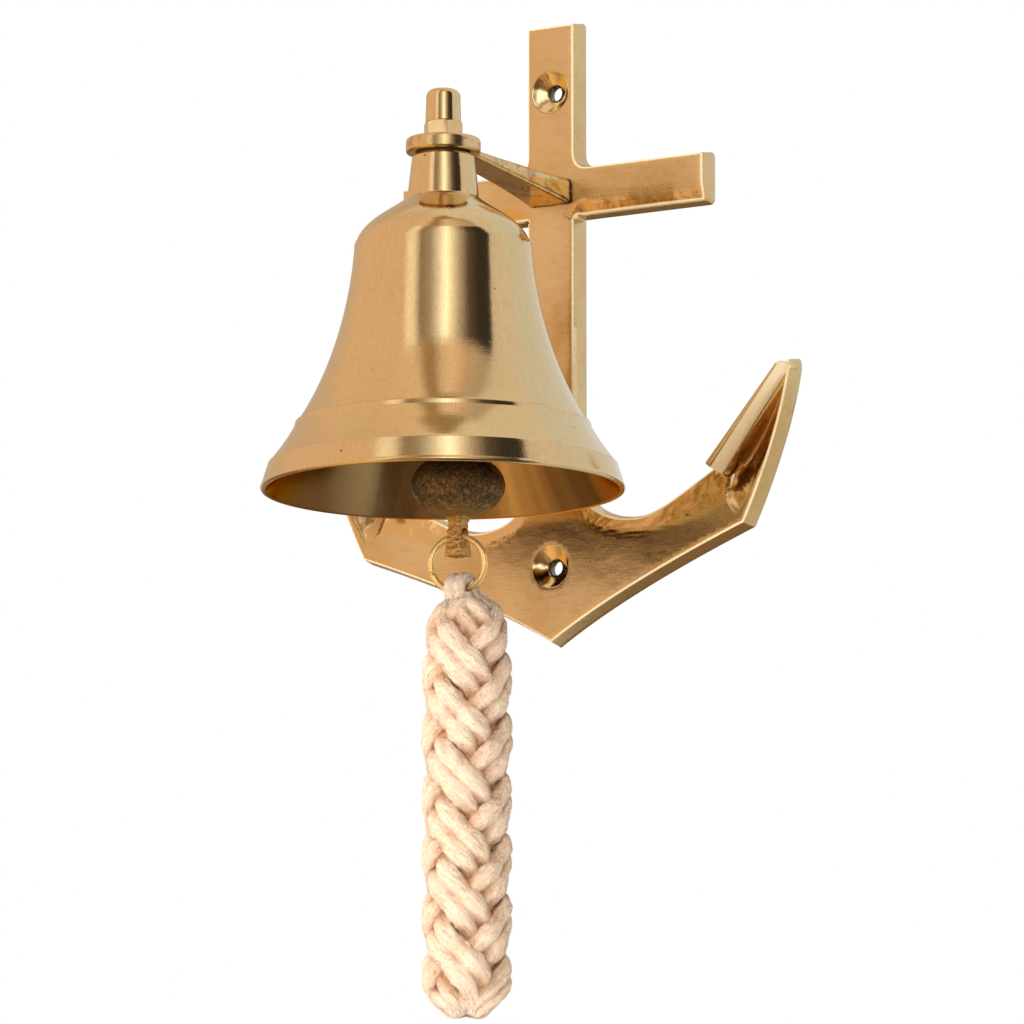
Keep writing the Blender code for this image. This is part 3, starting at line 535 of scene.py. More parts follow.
def bell_profile():
    """The bell's wall in section: down the outside, round the rim, up the inside and along the bore."""
    crease, lip_top = (24.3, 70.2), (48.0, 7.9)
    bead = [(40.4, 19.2), (41.15, 18.95), (41.35, 17.7)]
    rim = [(50.2, 2.3), (50.4, 1.6), (50.8, 0.7), (50.4, 0.0), (49.2, 0.05)]
    points = rounded([(3.3, 94.98), (8.4, 94.98), (8.75, 94.4), (9.4, 89.0)], {1: 0.3, 2: 0.3})[1:]
    points += rounded([(9.4, 89.0), (10.0, 83.0), (11.3, 81.8)], {1: 0.7}, 5)[1:-1]
    points += curve(((10.8, 82.25), (14.8, 79.0), (22.4, 76.0), crease), 26)
    points += curve(((24.75, 69.5), (26.2, 47.0), (33.9, 28.9), bead[0]), 60)
    points += rounded([(39.9, 19.8)] + bead + [(42.1, 16.2)], {1: 0.35, 2: 0.35, 3: 0.5})[1:-1]
    points += curve(((41.6, 17.2), (44.0, 12.8), lip_top), 16)
    points += rounded([(47.4, 8.5), lip_top, (48.6, 7.3), (50.35, 1.9)], {1: 0.5, 2: 0.5})[1:-1]
    points += spaced([(48.85, 6.5), (50.3, 1.9)], 0.7)[:-1]
    points += rounded(rim, {1: 0.5, 2: 0.5, 3: 0.5}, 5)[1:-1]
    points += curve(INNER_WALL, INNER_STEPS)
    points += curve((INNER_WALL[-1], (21.4, 76.0), (13.0, 76.0)), 16)
    points += [(13.0, 76.0), (8.0, 76.0), (3.5, 76.0), (3.3, 76.2), (3.3, 85.0)]
    return points


def inner_reach(rise):
    """Radius of the bell's inside at a height above its mouth."""
    inner = curve(INNER_WALL, INNER_STEPS) + [(INNER_WALL[-1][0], 80.0)]
    for (r1, h1), (r2, h2) in zip(inner, inner[1:]):
        if h1 <= rise <= h2:
            return r1 + (r2 - r1) * (rise - h1) / (h2 - h1)
    return inner[0][0]


def make_bell(material):
    bell = turned("bell_shell", bell_profile(), 192, BELL_PLACE, 30.0, closed=True)
    within = bell.data.attributes.new("within", "FLOAT", "POINT")
    for vertex, mark in zip(bell.data.vertices, within.data):
        rise = (vertex.co.z - MOUTH_Z) / MM
        reach = math.hypot(vertex.co.x, vertex.co.y - BELL_Y) / MM
        mark.value = 1.0 if rise < 70.0 and reach < inner_reach(rise) + 0.4 else 0.0
    show(bell, material, "bracket", "polished_brass", "bell_body")


# ---------------------------------------------------------------- anchor

PLATE = 6.0
DRAFT = 0.9
SHANK = 7.65
EDGE = 0.7
BACK_EDGE = 0.35
FRONT_STEP = 1.15
SCREW_HOLES = ((0.0, 158.6), (0.0, 21.5))
ARM_SCREW_HOLE = (0.0, 129.9)
DISCS = [(centre, 6.25, 72) for centre in SCREW_HOLES] + [(ARM_SCREW_HOLE, 2.3, 32)]
STOCK_LOW, STOCK_HIGH, STOCK_END = 122.2, 135.6, 50.5
# Each row: ridge on the front face (x, z), the edge that it slopes to (x, z), and the slope's depth there.
RIDGE_ROWS = (
    (7.60, 106.0, 7.65, 106.0, 0.02),
    (6.90, 80.0, 7.65, 80.0, 0.5),
    (5.60, 58.0, 7.65, 58.0, 1.3),
    (5.40, 45.0, 8.30, 46.5, 1.9),
    (8.60, 35.6, 12.2, 39.2, 2.2),
    (16.0, 30.0, 17.8, 35.6, 2.5),
    (27.8, 28.0, 27.8, 33.6, 2.7),
    (37.5, 29.0, 36.5, 36.3, 2.9),
    (47.0, 31.3, 46.0, 41.8, 3.0),
    (56.7, 34.5, 52.5, 45.5, 3.0),
    (61.5, 36.6, 57.5, 47.5, 2.8),
)
PALM_FOOT, PALM_TIP = Vector((53.3, 45.7)), Vector((78.5, 73.5))
PALM_ALONG = (PALM_TIP - PALM_FOOT).normalized()
PALM_OUTWARD = Vector((PALM_ALONG.y, -PALM_ALONG.x))
PALM_HEIGHT = 5.3


def half_outline():
    """Right half of the anchor's front outline, from the shank's top to the crown's tip."""
    tip, bill, lowest, foot = (79.4, 75.8), (63.5, 28.8), (26.0, 33.5), (53.5, 46.0)
    corners = [(0.0, 177.8), (SHANK, 177.8), (SHANK, STOCK_HIGH), (STOCK_END, STOCK_HIGH)]
    corners += [(STOCK_END, STOCK_LOW), (SHANK, STOCK_LOW), (SHANK, 110.0)]
    points = rounded(corners, {1: 0.7, 2: 4.8, 3: 0.7, 4: 0.7, 5: 1.2}, 6)
    points += curve(((SHANK, 48.0), (8.6, 38.5), (16.0, 33.5), lowest), 22)
    points += curve((lowest, (33.5, 33.5), (42.0, 39.5), foot), 24)
    outer = curve((tip, (76.2, 54.0), bill), 28)
    points += [foot] + curve(((76.6, 72.3), tip, outer[4]), 10) + outer[4:]
    low = [points[-1]] + curve((bill, (21.8, 13.6), (0.0, 0.0)), 30) + [(0.0, 0.0)]
    return points + rounded(low, {1: 0.7})[1:]


def whole_outline():
    right = half_outline()
    return spaced(right + [(-x, z) for x, z in reversed(right)][1:-1], 1.1, closed=True)


def grown(outline, distance):
    """Moves every point of a closed outline square to its two edges; positive is outward."""
    result = []
    count = len(outline)
    for i, point in enumerate(outline):
        here = Vector(point)
        into = (here - Vector(outline[i - 1])).normalized()
        out = (Vector(outline[(i + 1) % count]) - here).normalized()
        square = Vector((-into.y, into.x))
        normal = (square + Vector((-out.y, out.x))).normalized()
        result.append(tuple(here + normal * distance / max(normal.dot(square), 0.6)))
    return result


def ridge_line():
    """(ridge point, slope beyond it), evenly sampled along a smooth curve through RIDGE_ROWS."""
    samples = []
    last = len(RIDGE_ROWS) - 1
    for i in range(last):
        four = [RIDGE_ROWS[clamped(i + k, 0, last)] for k in (-1, 0, 1, 2)]
        for t in np.arange(10) / 10:
            w = (-0.5 * t + t * t - 0.5 * t**3, 1 - 2.5 * t * t + 1.5 * t**3,
                 0.5 * t + 2 * t * t - 1.5 * t**3, -0.5 * t * t + 0.5 * t**3)
            samples.append([sum(a * row[k] for a, row in zip(w, four)) for k in range(5)])
    samples.append(RIDGE_ROWS[-1])
    return [(Vector((x, z)), max(depth, 0.0) / max(math.hypot(edge_x - x, edge_z - z), 0.6))
            for x, z, edge_x, edge_z, depth in samples]


RIDGE = ridge_line()


def softly_above(value, softness):
    """value where positive, 0 where negative, rounded at the join."""
    return 0.5 * (value + math.hypot(value, softness) - softness)


def front_drop(x, z):
    """How far the front face lies behind its flat level at a point, before the flukes' hollows."""
    x = abs(x)
    here = Vector((x, z))
    drop = 0.0
    if 28.0 < z < 106.0 and x < 72.0:
        nearest, found = 1e9, 0.0
        for (a, slope), (b, slope_b) in zip(RIDGE, RIDGE[1:]):
            run = b - a
            t = clamped((here - a).dot(run) / max(run.length_squared, 1e-9))
            away = here - (a + run * t)
            if away.length < nearest:
                nearest = away.length
                beyond = math.copysign(nearest, run.x * away.y - run.y * away.x)
                found = softly_above(beyond, 0.5) * (slope + (slope_b - slope) * t)
        end, run = RIDGE[-1][0], (RIDGE[-1][0] - RIDGE[-2][0]).normalized()
        drop = max(drop, found * clamped(1.0 - (here - end).dot(run) / 4.0))
    if STOCK_LOW - 1 < z < STOCK_HIGH and x > SHANK - 3.0:
        fade = min(1.0, (x - SHANK + 3.0) / 6.0)
        rise = 5.6 + 0.9 * math.cos((x - SHANK) / 9.0)
        drop = max(drop, fade * 0.24 * softly_above(STOCK_LOW + rise - z, 0.8))
    return drop


def scoop_grid(stations=44, across=20):
    """Stations across the right fluke's hollow: rows of (x, z, drop), rim to rim."""
    top, foot, heel = Vector((77.3, 67.0)), Vector((57.2, 43.6)), (62.0, 31.8)
    rim = curve(((77.9, 68.5), (74.6, 50.0), heel), stations) + [heel]
    rows = []
    for i in range(1, stations + 1):
        s = i / stations
        left, right = top.lerp(foot, s), Vector(rim[i])
        end = max(0.0, (s - 0.62) / 0.38)
        depth = 3.9 * math.sin(min(1.0, s * 1.3) * math.pi / 2) * max(0.0, 1.0 - end**2.2) ** 0.6
        centre, half = (left + right) / 2, (right - left) / 2
        down = Vector((half.y, -half.x)).normalized() * 2.0 * s**3
        row = []
        for k in range(across + 1):
            u = -1.0 + 2.0 * k / across
            arch = math.cos(u * math.pi / 2)
            spot = centre + half * math.sin(u * math.pi / 2) + down * arch
            row.append((spot.x, spot.y, depth * arch**0.8 * (1.0 - 0.35 * math.sin(math.pi * u))))
        rows.append(row)
    return rows


def inside(points, loop):
    """Which of the points lie inside a closed loop."""
    spots = np.asarray(points, dtype=float)
    hit = np.zeros(len(spots), dtype=bool)
    for (x1, z1), (x2, z2) in zip(loop, loop[1:] + loop[:1]):
        if z1 != z2:
            crossed = (z1 > spots[:, 1]) != (z2 > spots[:, 1])
            hit ^= crossed & (spots[:, 0] < x1 + (spots[:, 1] - z1) * (x2 - x1) / (z2 - z1))
    return hit


def gaps(points, loop):
    """Distance from each point to the nearest point of a loop."""
    spots = np.asarray(points, dtype=float)
    best = np.full(len(spots), 1e9)
    for x, z in loop:
        best = np.minimum(best, (spots[:, 0] - x) ** 2 + (spots[:, 1] - z) ** 2)
    return np.sqrt(best)


def triangulated(loops, extra=(), extra_edges=()):
    """Constrained triangulation of a face with holes: first loop is the rim, the others are holes."""
    points, edges = [], []
    for loop in loops:
        start = len(points)
        points += [Vector(p) for p in loop]
        edges += [(start + i, start + (i + 1) % len(loop)) for i in range(len(loop))]
    start = len(points)
    points += [Vector(p) for p in extra]
    edges += [(start + a, start + b) for a, b in extra_edges]
    verts, _, faces, origin, _, _ = geometry.delaunay_2d_cdt(points, edges, [], 0, 1e-4)
    middles = [sum((verts[i] for i in face), Vector((0.0, 0.0))) / len(face) for face in faces]
    wanted = inside(middles, loops[0])
    for hole in loops[1:]:
        wanted &= ~inside(middles, hole)
    return verts, [face for face, keep in zip(faces, wanted) if keep], origin


def anchor_front(bm, rim, holes):
    """Front face as a height field over a triangulation that follows every crease."""
    heights, extra, edges, hollows = {}, [], [], []
    first = sum(len(loop) for loop in [rim] + holes)
    for side in (1.0, -1.0):
        grid = scoop_grid()
        base, width, last = len(extra), len(grid[0]), len(grid) - 1
        for x, z, drop in (spot for row in grid for spot in row):
            heights[first + len(extra)] = drop
            extra.append((side * x, z))
        border = [(i, 0) for i in range(last)] + [(last, k) for k in range(width - 1)]
        border += [(i, width - 1) for i in range(last, 0, -1)] + [(0, k) for k in range(width - 1, 0, -1)]
        walk = [base + i * width + k for i, k in border]
        edges += list(zip(walk, walk[1:] + walk[:1]))
        hollows.append([extra[n] for n in walk])
    free = [(side * point.x, point.y) for side in (1.0, -1.0) for point, _ in RIDGE]
    for row in range(int(178 / FRONT_STEP)):
        start = -80.0 + 0.5 * (row % 2) * FRONT_STEP
        free += [(start + k * FRONT_STEP, 0.6 + row * FRONT_STEP) for k in range(int(160 / FRONT_STEP))]
    keep = inside(free, rim) & (gaps(free, rim) > 0.75)
    for hollow in hollows:
        keep &= ~inside(free, hollow) & (gaps(free, hollow) > 0.5)
    for centre, radius, _ in DISCS:
        keep &= gaps(free, [centre]) > radius + 0.7
    extra += [spot for spot, kept in zip(free, keep) if kept]
    verts, faces, origin = triangulated([rim] + holes, extra, edges)
    made = []
    for spot, sources in zip(verts, origin):
        drop = front_drop(spot.x, spot.y) + max((heights.get(o, 0.0) for o in sources), default=0.0)
        if drop > 4.0:
            drop = 4.0 + math.tanh(drop - 4.0)
        made.append(bm.verts.new((spot.x, drop - PLATE, spot.y)))
    for face in faces:
        bm.faces.new([made[i] for i in face])


def lift(loop, depth):
    """Outline points placed at a depth in front of the wall face."""
    return [(x, depth, z) for x, z in loop]


def make_palm(side):
    """The palm as its own closed form with rounded edges, its foot sunk in the plate."""
    # Each layer: height above the plate, shift out from the inner edge, thickness, cuts at foot and tip.
    layers = [(-4.0, 0.8, 4.6, 0.0, 0.3)]
    for t in (0.0, 0.2, 0.4, 0.6, 0.8, 1.0):
        layers.append((PALM_HEIGHT * t, 0.8 + 0.3 * t, 4.1 - 1.9 * t, 0.1 + 0.5 * t, 0.5 + 0.5 * t * t))
    for angle in (30, 60, 90):
        pull = 0.5 * (1 - math.cos(math.radians(angle)))
        height = PALM_HEIGHT + 0.15 + 0.5 * math.sin(math.radians(angle))
        layers.append((height, 1.15 + pull, 2.1 - 2 * pull, 0.6 + pull, 1.0 + pull * 4.0))
    sections = []
    for height, shift, thickness, foot_cut, tip_cut in layers:
        a = PALM_FOOT + PALM_ALONG * foot_cut + PALM_OUTWARD * shift
        b = PALM_TIP - PALM_ALONG * tip_cut + PALM_OUTWARD * shift * 0.5
        ring = (a, b, b + PALM_OUTWARD * thickness * 0.32, a + PALM_OUTWARD * thickness)
        ring = rounded(ring, {0: 0.5, 1: 0.45, 2: 0.5, 3: 0.7})
        sections.append([(side * x, -PLATE - height, z) for x, z in ring])
    return skinned("palm_form", sections, CROWN_PLACE)


def mark_anchor(anchor, loop):
    """Marks painted highlights on the front edges and palms, polished bowls and slopes, and painted shade in
    the flukes' hollows and screw holes for the finish.
    """
    spots = np.array([(vertex.co - CROWN_PLACE) / MM for vertex in anchor.data.vertices])
    flat, level = spots[:, (0, 2)], spots[:, 1]
    drops = np.array([front_drop(x, z) for x, z in flat])
    # Painted highlight along the front edges, and a weaker one on the palms' faces.
    painted_highlight = 1.0 * ((gaps(flat, loop) < 0.6) & (level < drops - PLATE + EDGE * 0.8))
    shift = (abs(flat[:, 0]) - PALM_FOOT.x) * PALM_OUTWARD.x + (flat[:, 1] - PALM_FOOT.y) * PALM_OUTWARD.y
    painted_highlight[(level < -PLATE - 0.3) & (level > -PLATE - 5.5) & (shift > 1.6) & (shift < 8.0)] = 0.7
    slope = np.clip((drops - 0.12) / 0.5, 0.0, 1.0)
    slope[(level > -2.4) | (level < -PLATE - 0.2)] = 0.0
    # Painted shade marks: the flukes' hollows by their depth, the screw holes' walls at 1.6.
    hollow = np.zeros(len(spots))
    front = (level > -PLATE + 0.05) & (level < -0.5)
    for x, z, drop in (spot for row in scoop_grid() for spot in row):
        near = front & (abs(abs(flat[:, 0]) - x) < 0.9) & (abs(flat[:, 1] - z) < 0.9)
        hollow[near] = np.maximum(hollow[near], drop / 4.0)
    to_hole = gaps(flat, SCREW_HOLES)
    hollow[(to_hole < 2.4) & (level < -0.1)] = 1.6
    bowl = 1.0 * ((to_hole < 6.2) & (level < -0.1))
    for name, values in (("painted_highlight", painted_highlight), ("bowl", bowl), ("slope", slope), ("hollow", hollow)):
        anchor.data.attributes.new(name, "FLOAT", "POINT").data.foreach_set("value", values)


def make_anchor(material):
    loop = whole_outline()
    rim = grown(loop, -EDGE)
    discs = [circle(centre, radius, count) for centre, radius, count in DISCS]
    bm = bmesh.new()
    anchor_front(bm, rim, discs)
    front_level = [front_drop(x, z) - PLATE for x, z in rim]
    rings = []
    for angle in (0, 30, 60, 90):
        c, s = math.cos(math.radians(angle)), math.sin(math.radians(angle))
        ring = grown(loop, -EDGE * (1 - s))
        rings.append([(x, y + EDGE * (1 - c), z) for (x, z), y in zip(ring, front_level)])
    for share in (0.35, 0.7):
        ring = grown(loop, DRAFT * share)
        rings.append([(x, y * (1 - share), z) for (x, z), y in zip(ring, front_level)])
    back = grown(loop, DRAFT - BACK_EDGE)
    for share, depth in ((0.0, BACK_EDGE), (0.3, BACK_EDGE * 0.3)):
        rings.append(lift(grown(loop, DRAFT - BACK_EDGE * share), -depth))
    skin(bm, rings + [lift(back, 0.0)], capped=False)
    countersink = [(6.25, -PLATE), (6.08, -PLATE + 0.04), (5.9, -PLATE + 0.2)]
    countersink += [(5.9 - 3.7 * t, -PLATE + 0.2 + 2.7 * t**0.9) for t in (0.2, 0.4, 0.6, 0.8, 1.0)]
    countersink += [(2.15, -2.95), (2.15, -0.25), (2.35, 0.0)]
    from_behind = [(2.3, -PLATE), (2.3, -2.0), (4.2, -0.1), (4.3, 0.0)]
    back_loops = [back]
    for centre, _, count in DISCS:
        steps = countersink if centre in SCREW_HOLES else from_behind
        skin(bm, [lift(circle(centre, radius, count), y) for radius, y in steps], capped=False)
        back_loops.append(circle(centre, steps[-1][0], count))
    verts, faces, _ = triangulated(back_loops)
    made = [bm.verts.new((p.x, 0.0, p.y)) for p in verts]
    for face in faces:
        bm.faces.new([made[i] for i in face])
    bmesh.ops.remove_doubles(bm, verts=bm.verts, dist=0.002)
    anchor = link_object("anchor_casting", bm, CROWN_PLACE, 38.0)
    for side in (1.0, -1.0):
        use_boolean(anchor, make_palm(side), "UNION")
    mark_anchor(anchor, loop)
    show(anchor, material, "bracket", "brushed_brass", "anchor_plate")


# ---------------------------------------------------------------- arm

EYE_RADIUS = 10.5
EYE_HEIGHT = 4.3
ARM_REACH = (6.2, 52.0)
ARM_TIP_LOW = 41.1
ARM_STATIONS = 24


def make_arm(material):
    """Tapered casting with a ring eye; remeshed and smoothed so that the two flow together."""
    top = ARM_HIGH.z / MM + 0.12
    level = top - 1.9
    root_low = ARM_LOW.z / MM
    sections = []
    for i in range(ARM_STATIONS):
        t = i / (ARM_STATIONS - 1)
        out = ARM_REACH[0] + (ARM_REACH[1] - ARM_REACH[0]) * t
        half = 4.9 + 2.1 * (1 - t) ** 2.2
        low = root_low + (ARM_TIP_LOW - root_low) * t**0.85
        crest = clamped((level - low) * 0.4, 1.0, 2.3)
        ring = []
        for start, side, z, corner in ((0, 1, level, crest), (90, -1, level, crest), (180, -1, low, 1.0),
                                       (270, 1, low, 1.0)):
            centre = (side * (half - corner), z + (corner if start >= 180 else -corner))
            ring += [(x, -out, z) for x, z in arc(centre, corner, start, start + 90, 5)]
        sections.append(ring)
    arm = skinned("arm_casting", sections)
    upper, lower = top - 1.1, top - EYE_HEIGHT + 0.6
    profile = [(0.0, top), (6.0, top)]
    profile += reversed(arc((EYE_RADIUS - 1.1, upper), 1.1, 0.0, 90.0, 6))
    profile += reversed(arc((EYE_RADIUS - 0.6, lower), 0.6, 270.0, 360.0, 4))
    profile += [(6.0, top - EYE_HEIGHT), (0.0, top - EYE_HEIGHT)]
    use_boolean(arm, turned("arm_eye", profile, 96, NECK_PLACE), "UNION")
    flow_together(arm, 0.32, 5)
    hole = [(0.0, top + 2), (3.3, top + 2), (3.3, top - 6), (0.0, top - 6)]
    use_boolean(arm, turned("arm_bore", hole, 48, NECK_PLACE), "DIFFERENCE")
    pit_place = Matrix.Translation((1.0, -21.0, 37.6)) @ Matrix.Rotation(0.35, 4, "Z")
    pit_place @= Matrix.Diagonal((0.8, 2.0, 1.0, 1.0))
    bm = bmesh.new()
    bmesh.ops.create_uvsphere(bm, u_segments=24, v_segments=12, radius=1.0, matrix=pit_place)
    use_boolean(arm, link_object("arm_pit", bm), "DIFFERENCE")
    show(arm, material, "bracket", "polished_brass", "bracket_arm")


# ---------------------------------------------------------------- cap nut


def make_dome_nut(material):
    """A chamfered hexagon with a domed cap, bored from below."""
    across = 10.0
    corner = across / math.sqrt(3)
    bottom, top = NUT_LOW.z / MM, NUT_HIGH.z / MM
    hex_top = bottom + 4.5
    bm = bmesh.new()
    corners = [math.radians(12.0) + math.tau * i / 6 for i in range(6)]
    skin(bm, [[(corner * math.cos(a), corner * math.sin(a), z) for a in corners] for z in (bottom, hex_top)])
    bmesh.ops.bevel(bm, geom=list(bm.edges), offset=0.18, segments=3, affect="EDGES", profile=0.5)
    nut = link_object("cap_nut", bm)
    drop = (corner - across / 2) * 0.62
    flat = across / 2 - 0.1
    trim = [(0.0, hex_top), (flat, hex_top), (corner, hex_top - drop), (corner, bottom + drop)]
    trim += [(flat, bottom), (0.0, bottom)]
    use_boolean(nut, turned("hex_trim", trim, 72), "INTERSECT")
    rounding = 2.2
    dome = [(0.0, top + 0.1)]
    dome += reversed(arc((4.8 - rounding, top - rounding - 0.05), rounding, 0.0, 82.0, 10))
    dome += [(5.0, hex_top + 0.8), (5.05, hex_top + 0.1), (4.7, hex_top - 0.6), (0.0, hex_top - 0.6)]
    use_boolean(nut, turned("dome_form", dome, 72), "UNION")
    bore = [(0.0, top - 4.4), (3.3, top - 6.0), (3.3, bottom - 1.0), (0.0, bottom - 1.0)]
    use_boolean(nut, turned("nut_bore", bore, 36), "DIFFERENCE")
    nut.data.transform(Matrix.Translation(NECK_PLACE))
    show(nut, material, "bracket", "polished_brass", "dome_nut")


# ---------------------------------------------------------------- hook, link, clapper and ring

THREAD_PITCH = 1.0
THREAD_STEPS = 6
STUD_END = 67.0
HOOK_WIRE = 1.75
HOOK_BEND = (5.0, 62.0)
LINK_BEND, LINK_STRAIGHT, LINK_WIRE = 3.2, 5.0, 1.1
RING_BEND, RING_WIRE, RING_STEPS = 7.65, 0.9, 160
RING_TURN = math.radians(20.0)


def make_hook(material):
    """Threaded stud with real thread ridges, drawn down to a smooth wire hook."""
    top = (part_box("hanger_hook")[1].z - MOUTH_Z) / MM
    count = int((top - STUD_END) / THREAD_PITCH * THREAD_STEPS)
    stations = []
    for i in range(count + 1):
        z = top - (top - STUD_END) * i / count
        full = clamped(min((top - z) / 0.8, (z - STUD_END) / 0.8))
        stations.append((0.0, z, 2.62 + 0.36 * (0.5 + 0.5 * math.cos(math.tau * z / THREAD_PITCH)) * full))
    stations.append((0.0, STUD_END - 0.6, HOOK_WIRE))
    stations += [(x, z, HOOK_WIRE) for x, z in arc(HOOK_BEND, 5.0, 180.0, 360.0, 40)]
    for height, radius in ((2.2, HOOK_WIRE), (2.6, 1.6), (2.9, 1.3), (3.0, 0.9)):
        stations.append((10.0, HOOK_BEND[1] + height, radius))
    path = [(x, 0.0, z) for x, z, _ in stations]
    radii = [radius for _, _, radius in stations]
    hook = wire("hook_stud", path, radii, 28, Vector((0.0, 1.0, 0.0)), BELL_PLACE)
    show(hook, material, "bracket", "wire_brass", "hanger_hook")


def make_link(material):
    """An oval of wire, its long sides upright."""
    flat = arc((0.0, 0.0), LINK_BEND, 0.0, 180.0, 28)
    flat += [(-LINK_BEND, -LINK_STRAIGHT * t) for t in (0.25, 0.5, 0.75)]
    flat += arc((0.0, -LINK_STRAIGHT), LINK_BEND, 180.0, 360.0, 28)
    flat += [(LINK_BEND, -LINK_STRAIGHT * t) for t in (0.75, 0.5, 0.25)]
    path = [(0.0, y, z) for y, z in flat]
    radii = [LINK_WIRE] * len(path)
    link = wire("swing_link", path, radii, 20, Vector((1.0, 0.0, 0.0)), LINK_PIVOT, closed=True)
    show(link, material, "link", "wire_brass", "clapper_link")


def roughen(clapper, ball_centre):
    """Pushes the casting's skin in and out like sand, less round the eye and more on the tail."""
    normals = [vertex.normal.copy() for vertex in clapper.data.vertices]
    for vertex, normal in zip(clapper.data.vertices, normals):
        spot = vertex.co / MM
        tail_share = clamped((ball_centre - 6.0 - spot.z) / 4.0)
        lump = noise.noise(spot * 0.35) * 0.16
        grit = noise.noise(spot * (1.1 + 0.2 * tail_share)) * (0.10 + 0.13 * tail_share)
        fine = noise.noise(spot * 2.6) * 0.05
        below_eye = clamped((-4.6 - spot.z) / 4.0)
        vertex.co += normal * ((lump + grit + fine) * below_eye - 0.02) * MM


def make_clapper(material):
    """Eye, shank, ball and tail in one casting, with the rough skin that a sand mould leaves."""
    pivot = (CLAPPER_PIVOT.z - MOUTH_Z) / MM
    ball_centre = 1.0 - pivot
    ball_wide, ball_high, steps = 13.1, 8.9, 40
    profile = [(0.0, -1.0), (2.0, -2.6), (2.1, -6.0), (2.9, -34.0), (3.3, -37.0)]
    for i in range(6, steps):
        angle = math.pi / 2 - math.pi * i / steps
        profile.append((ball_wide * math.cos(angle), ball_centre + ball_high * math.sin(angle)))
    profile.append((0.0, ball_centre - ball_high))
    clapper = turned("clapper_casting", profile, 96)
    eye_profile = [(0.0, 1.5), (3.7, 1.5), (4.2, 1.0), (4.2, -1.0), (3.7, -1.5), (0.0, -1.5)]
    eye = turned("clapper_eye", eye_profile, 48)
    eye.data.transform(Matrix.Rotation(math.pi / 2, 4, "X"))
    use_boolean(clapper, eye, "UNION")
    # Each row of the tail: height above the bell's mouth, half width in X and in Y.
    rows = ((-4.5, 3.4, 3.2), (-7.4, 2.9, 2.7), (-9.2, 2.35, 2.2), (-11.0, 2.3, 2.15),
            (-13.5, 2.5, 2.3), (-16.4, 2.95, 2.5), (-18.2, 3.15, 2.6), (-18.9, 2.95, 2.4))
    sections = []
    for height, half_x, half_y in rows:
        corners = [(half_x, -half_y), (half_x, half_y), (-half_x, half_y), (-half_x, -half_y)]
        ring = rounded(corners, dict.fromkeys(range(4), 0.7))
        sections.append([(x, y, height - pivot) for x, y in ring])
    use_boolean(clapper, skinned("clapper_tail", sections), "UNION")
    flow_together(clapper, 0.30, 6, 80.0)
    roughen(clapper, ball_centre)
    for radius, height, axis in ((1.8, 0.0, "X"), (2.0, -12.95 - pivot, "Y")):
        hole = turned("clapper_hole", [(0.0, 6.0), (radius, 6.0), (radius, -6.0), (0.0, -6.0)], 40)
        place = Matrix.Translation((0.0, 0.0, height * MM))
        hole.data.transform(place @ Matrix.Rotation(math.pi / 2, 4, axis))
        use_boolean(clapper, hole, "DIFFERENCE")
    clapper.data.transform(Matrix.Translation(CLAPPER_PIVOT))
    show(clapper, material, "clapper_body", "cast_bronze", "clapper")


def make_ring(material):
    """Wire ring bent round until its ends butt; the seam stands low at one side."""
    turn = Matrix.Rotation(RING_TURN, 3, "Z")
    path = [turn @ Vector((x, 0.0, z)) for x, z in arc((0.0, 0.0), RING_BEND, 200.0, 560.0, RING_STEPS)[:-1]]
    radii = [RING_WIRE] * RING_STEPS
    for from_seam, share in ((0, 0.72), (1, 0.95)):
        radii[from_seam] = radii[-1 - from_seam] = RING_WIRE * share
    ring = wire("cord_ring", path, radii, 24, turn @ Vector((0.0, 1.0, 0.0)), RING_CENTRE, closed=True)
    show(ring, material, "ring", "wire_brass", "lanyard_ring")


# ---------------------------------------------------------------- lanyard

BRAID_PITCH = 66.8
BRAID_SHIFT = 1.6
BRAID_TURN = math.radians(34.0)
BRAID_START = 4.5
BRAID_FACE = math.radians(-78.5)
BRAID_TOP = RING_LOW.z / MM - 1.2
BRAID_LENGTH = BRAID_TOP - BRAID_LOW.z / MM - 1.5
BRAID_X = (BRAID_LOW.x + BRAID_HIGH.x) / 2 / MM + BRAID_SHIFT
BRAID_Y = (BRAID_LOW.y + BRAID_HIGH.y) / 2 / MM
STRAND_STEPS = 250


def wobble(x, y, z):
    return noise.noise(Vector((x, y, z)))


def braid_envelope(depth):
    """Share of the braid's full radius at a depth below its top."""
    head = clamped(depth / 11.0)
    foot = clamped((BRAID_LENGTH - depth) / 10.0)
    return math.sqrt(max(0.0, 1 - (1 - head) ** 2.2)) * math.sqrt(max(0.0, 1 - (1 - foot) ** 2.4))


def braid_strand(index, hand):
    """Stations down one strand: its centre, the way out from the braid's axis, thickness and width."""
    stations = []
    for i in range(STRAND_STEPS + 1):
        depth = BRAID_LENGTH * i / STRAND_STEPS
        angle = hand * math.tau * (depth - BRAID_START) / BRAID_PITCH + index * math.pi / 2 + BRAID_TURN
        weave = math.cos(2 * (angle - BRAID_FACE)) * hand
        weave *= 1.5 - 0.5 * weave * weave
        bulge = math.cos(8 * (angle - BRAID_TURN)) * (0.6 + 0.4 * weave)
        swell = braid_envelope(depth)
        uneven = 0.5 * wobble(index * 7.1 + hand * 3.3, depth * 0.07, 0.0)
        angle += 0.07 * wobble(index * 3.7, depth * 0.09, 5.0 + hand)
        radius = (7.0 + (2.0 * weave + 0.45 * bulge) * min(1.0, depth / 16.0) + uneven) * swell + 0.6
        thickness = 3.3 + 0.12 * bulge + 0.4 * wobble(depth * 0.15, index * 3.0, hand)
        width = 5.35 + 0.2 * bulge + 0.5 * wobble(depth * 0.11, index * 5.0, 9.0 + hand)
        outward = Vector((math.cos(angle), math.sin(angle), 0.0))
        centre = Vector((radius * outward.x, radius * outward.y, BRAID_TOP - depth))
        stations.append((centre, outward, thickness * (0.45 + 0.55 * swell), width * (0.35 + 0.65 * swell)))
    return stations


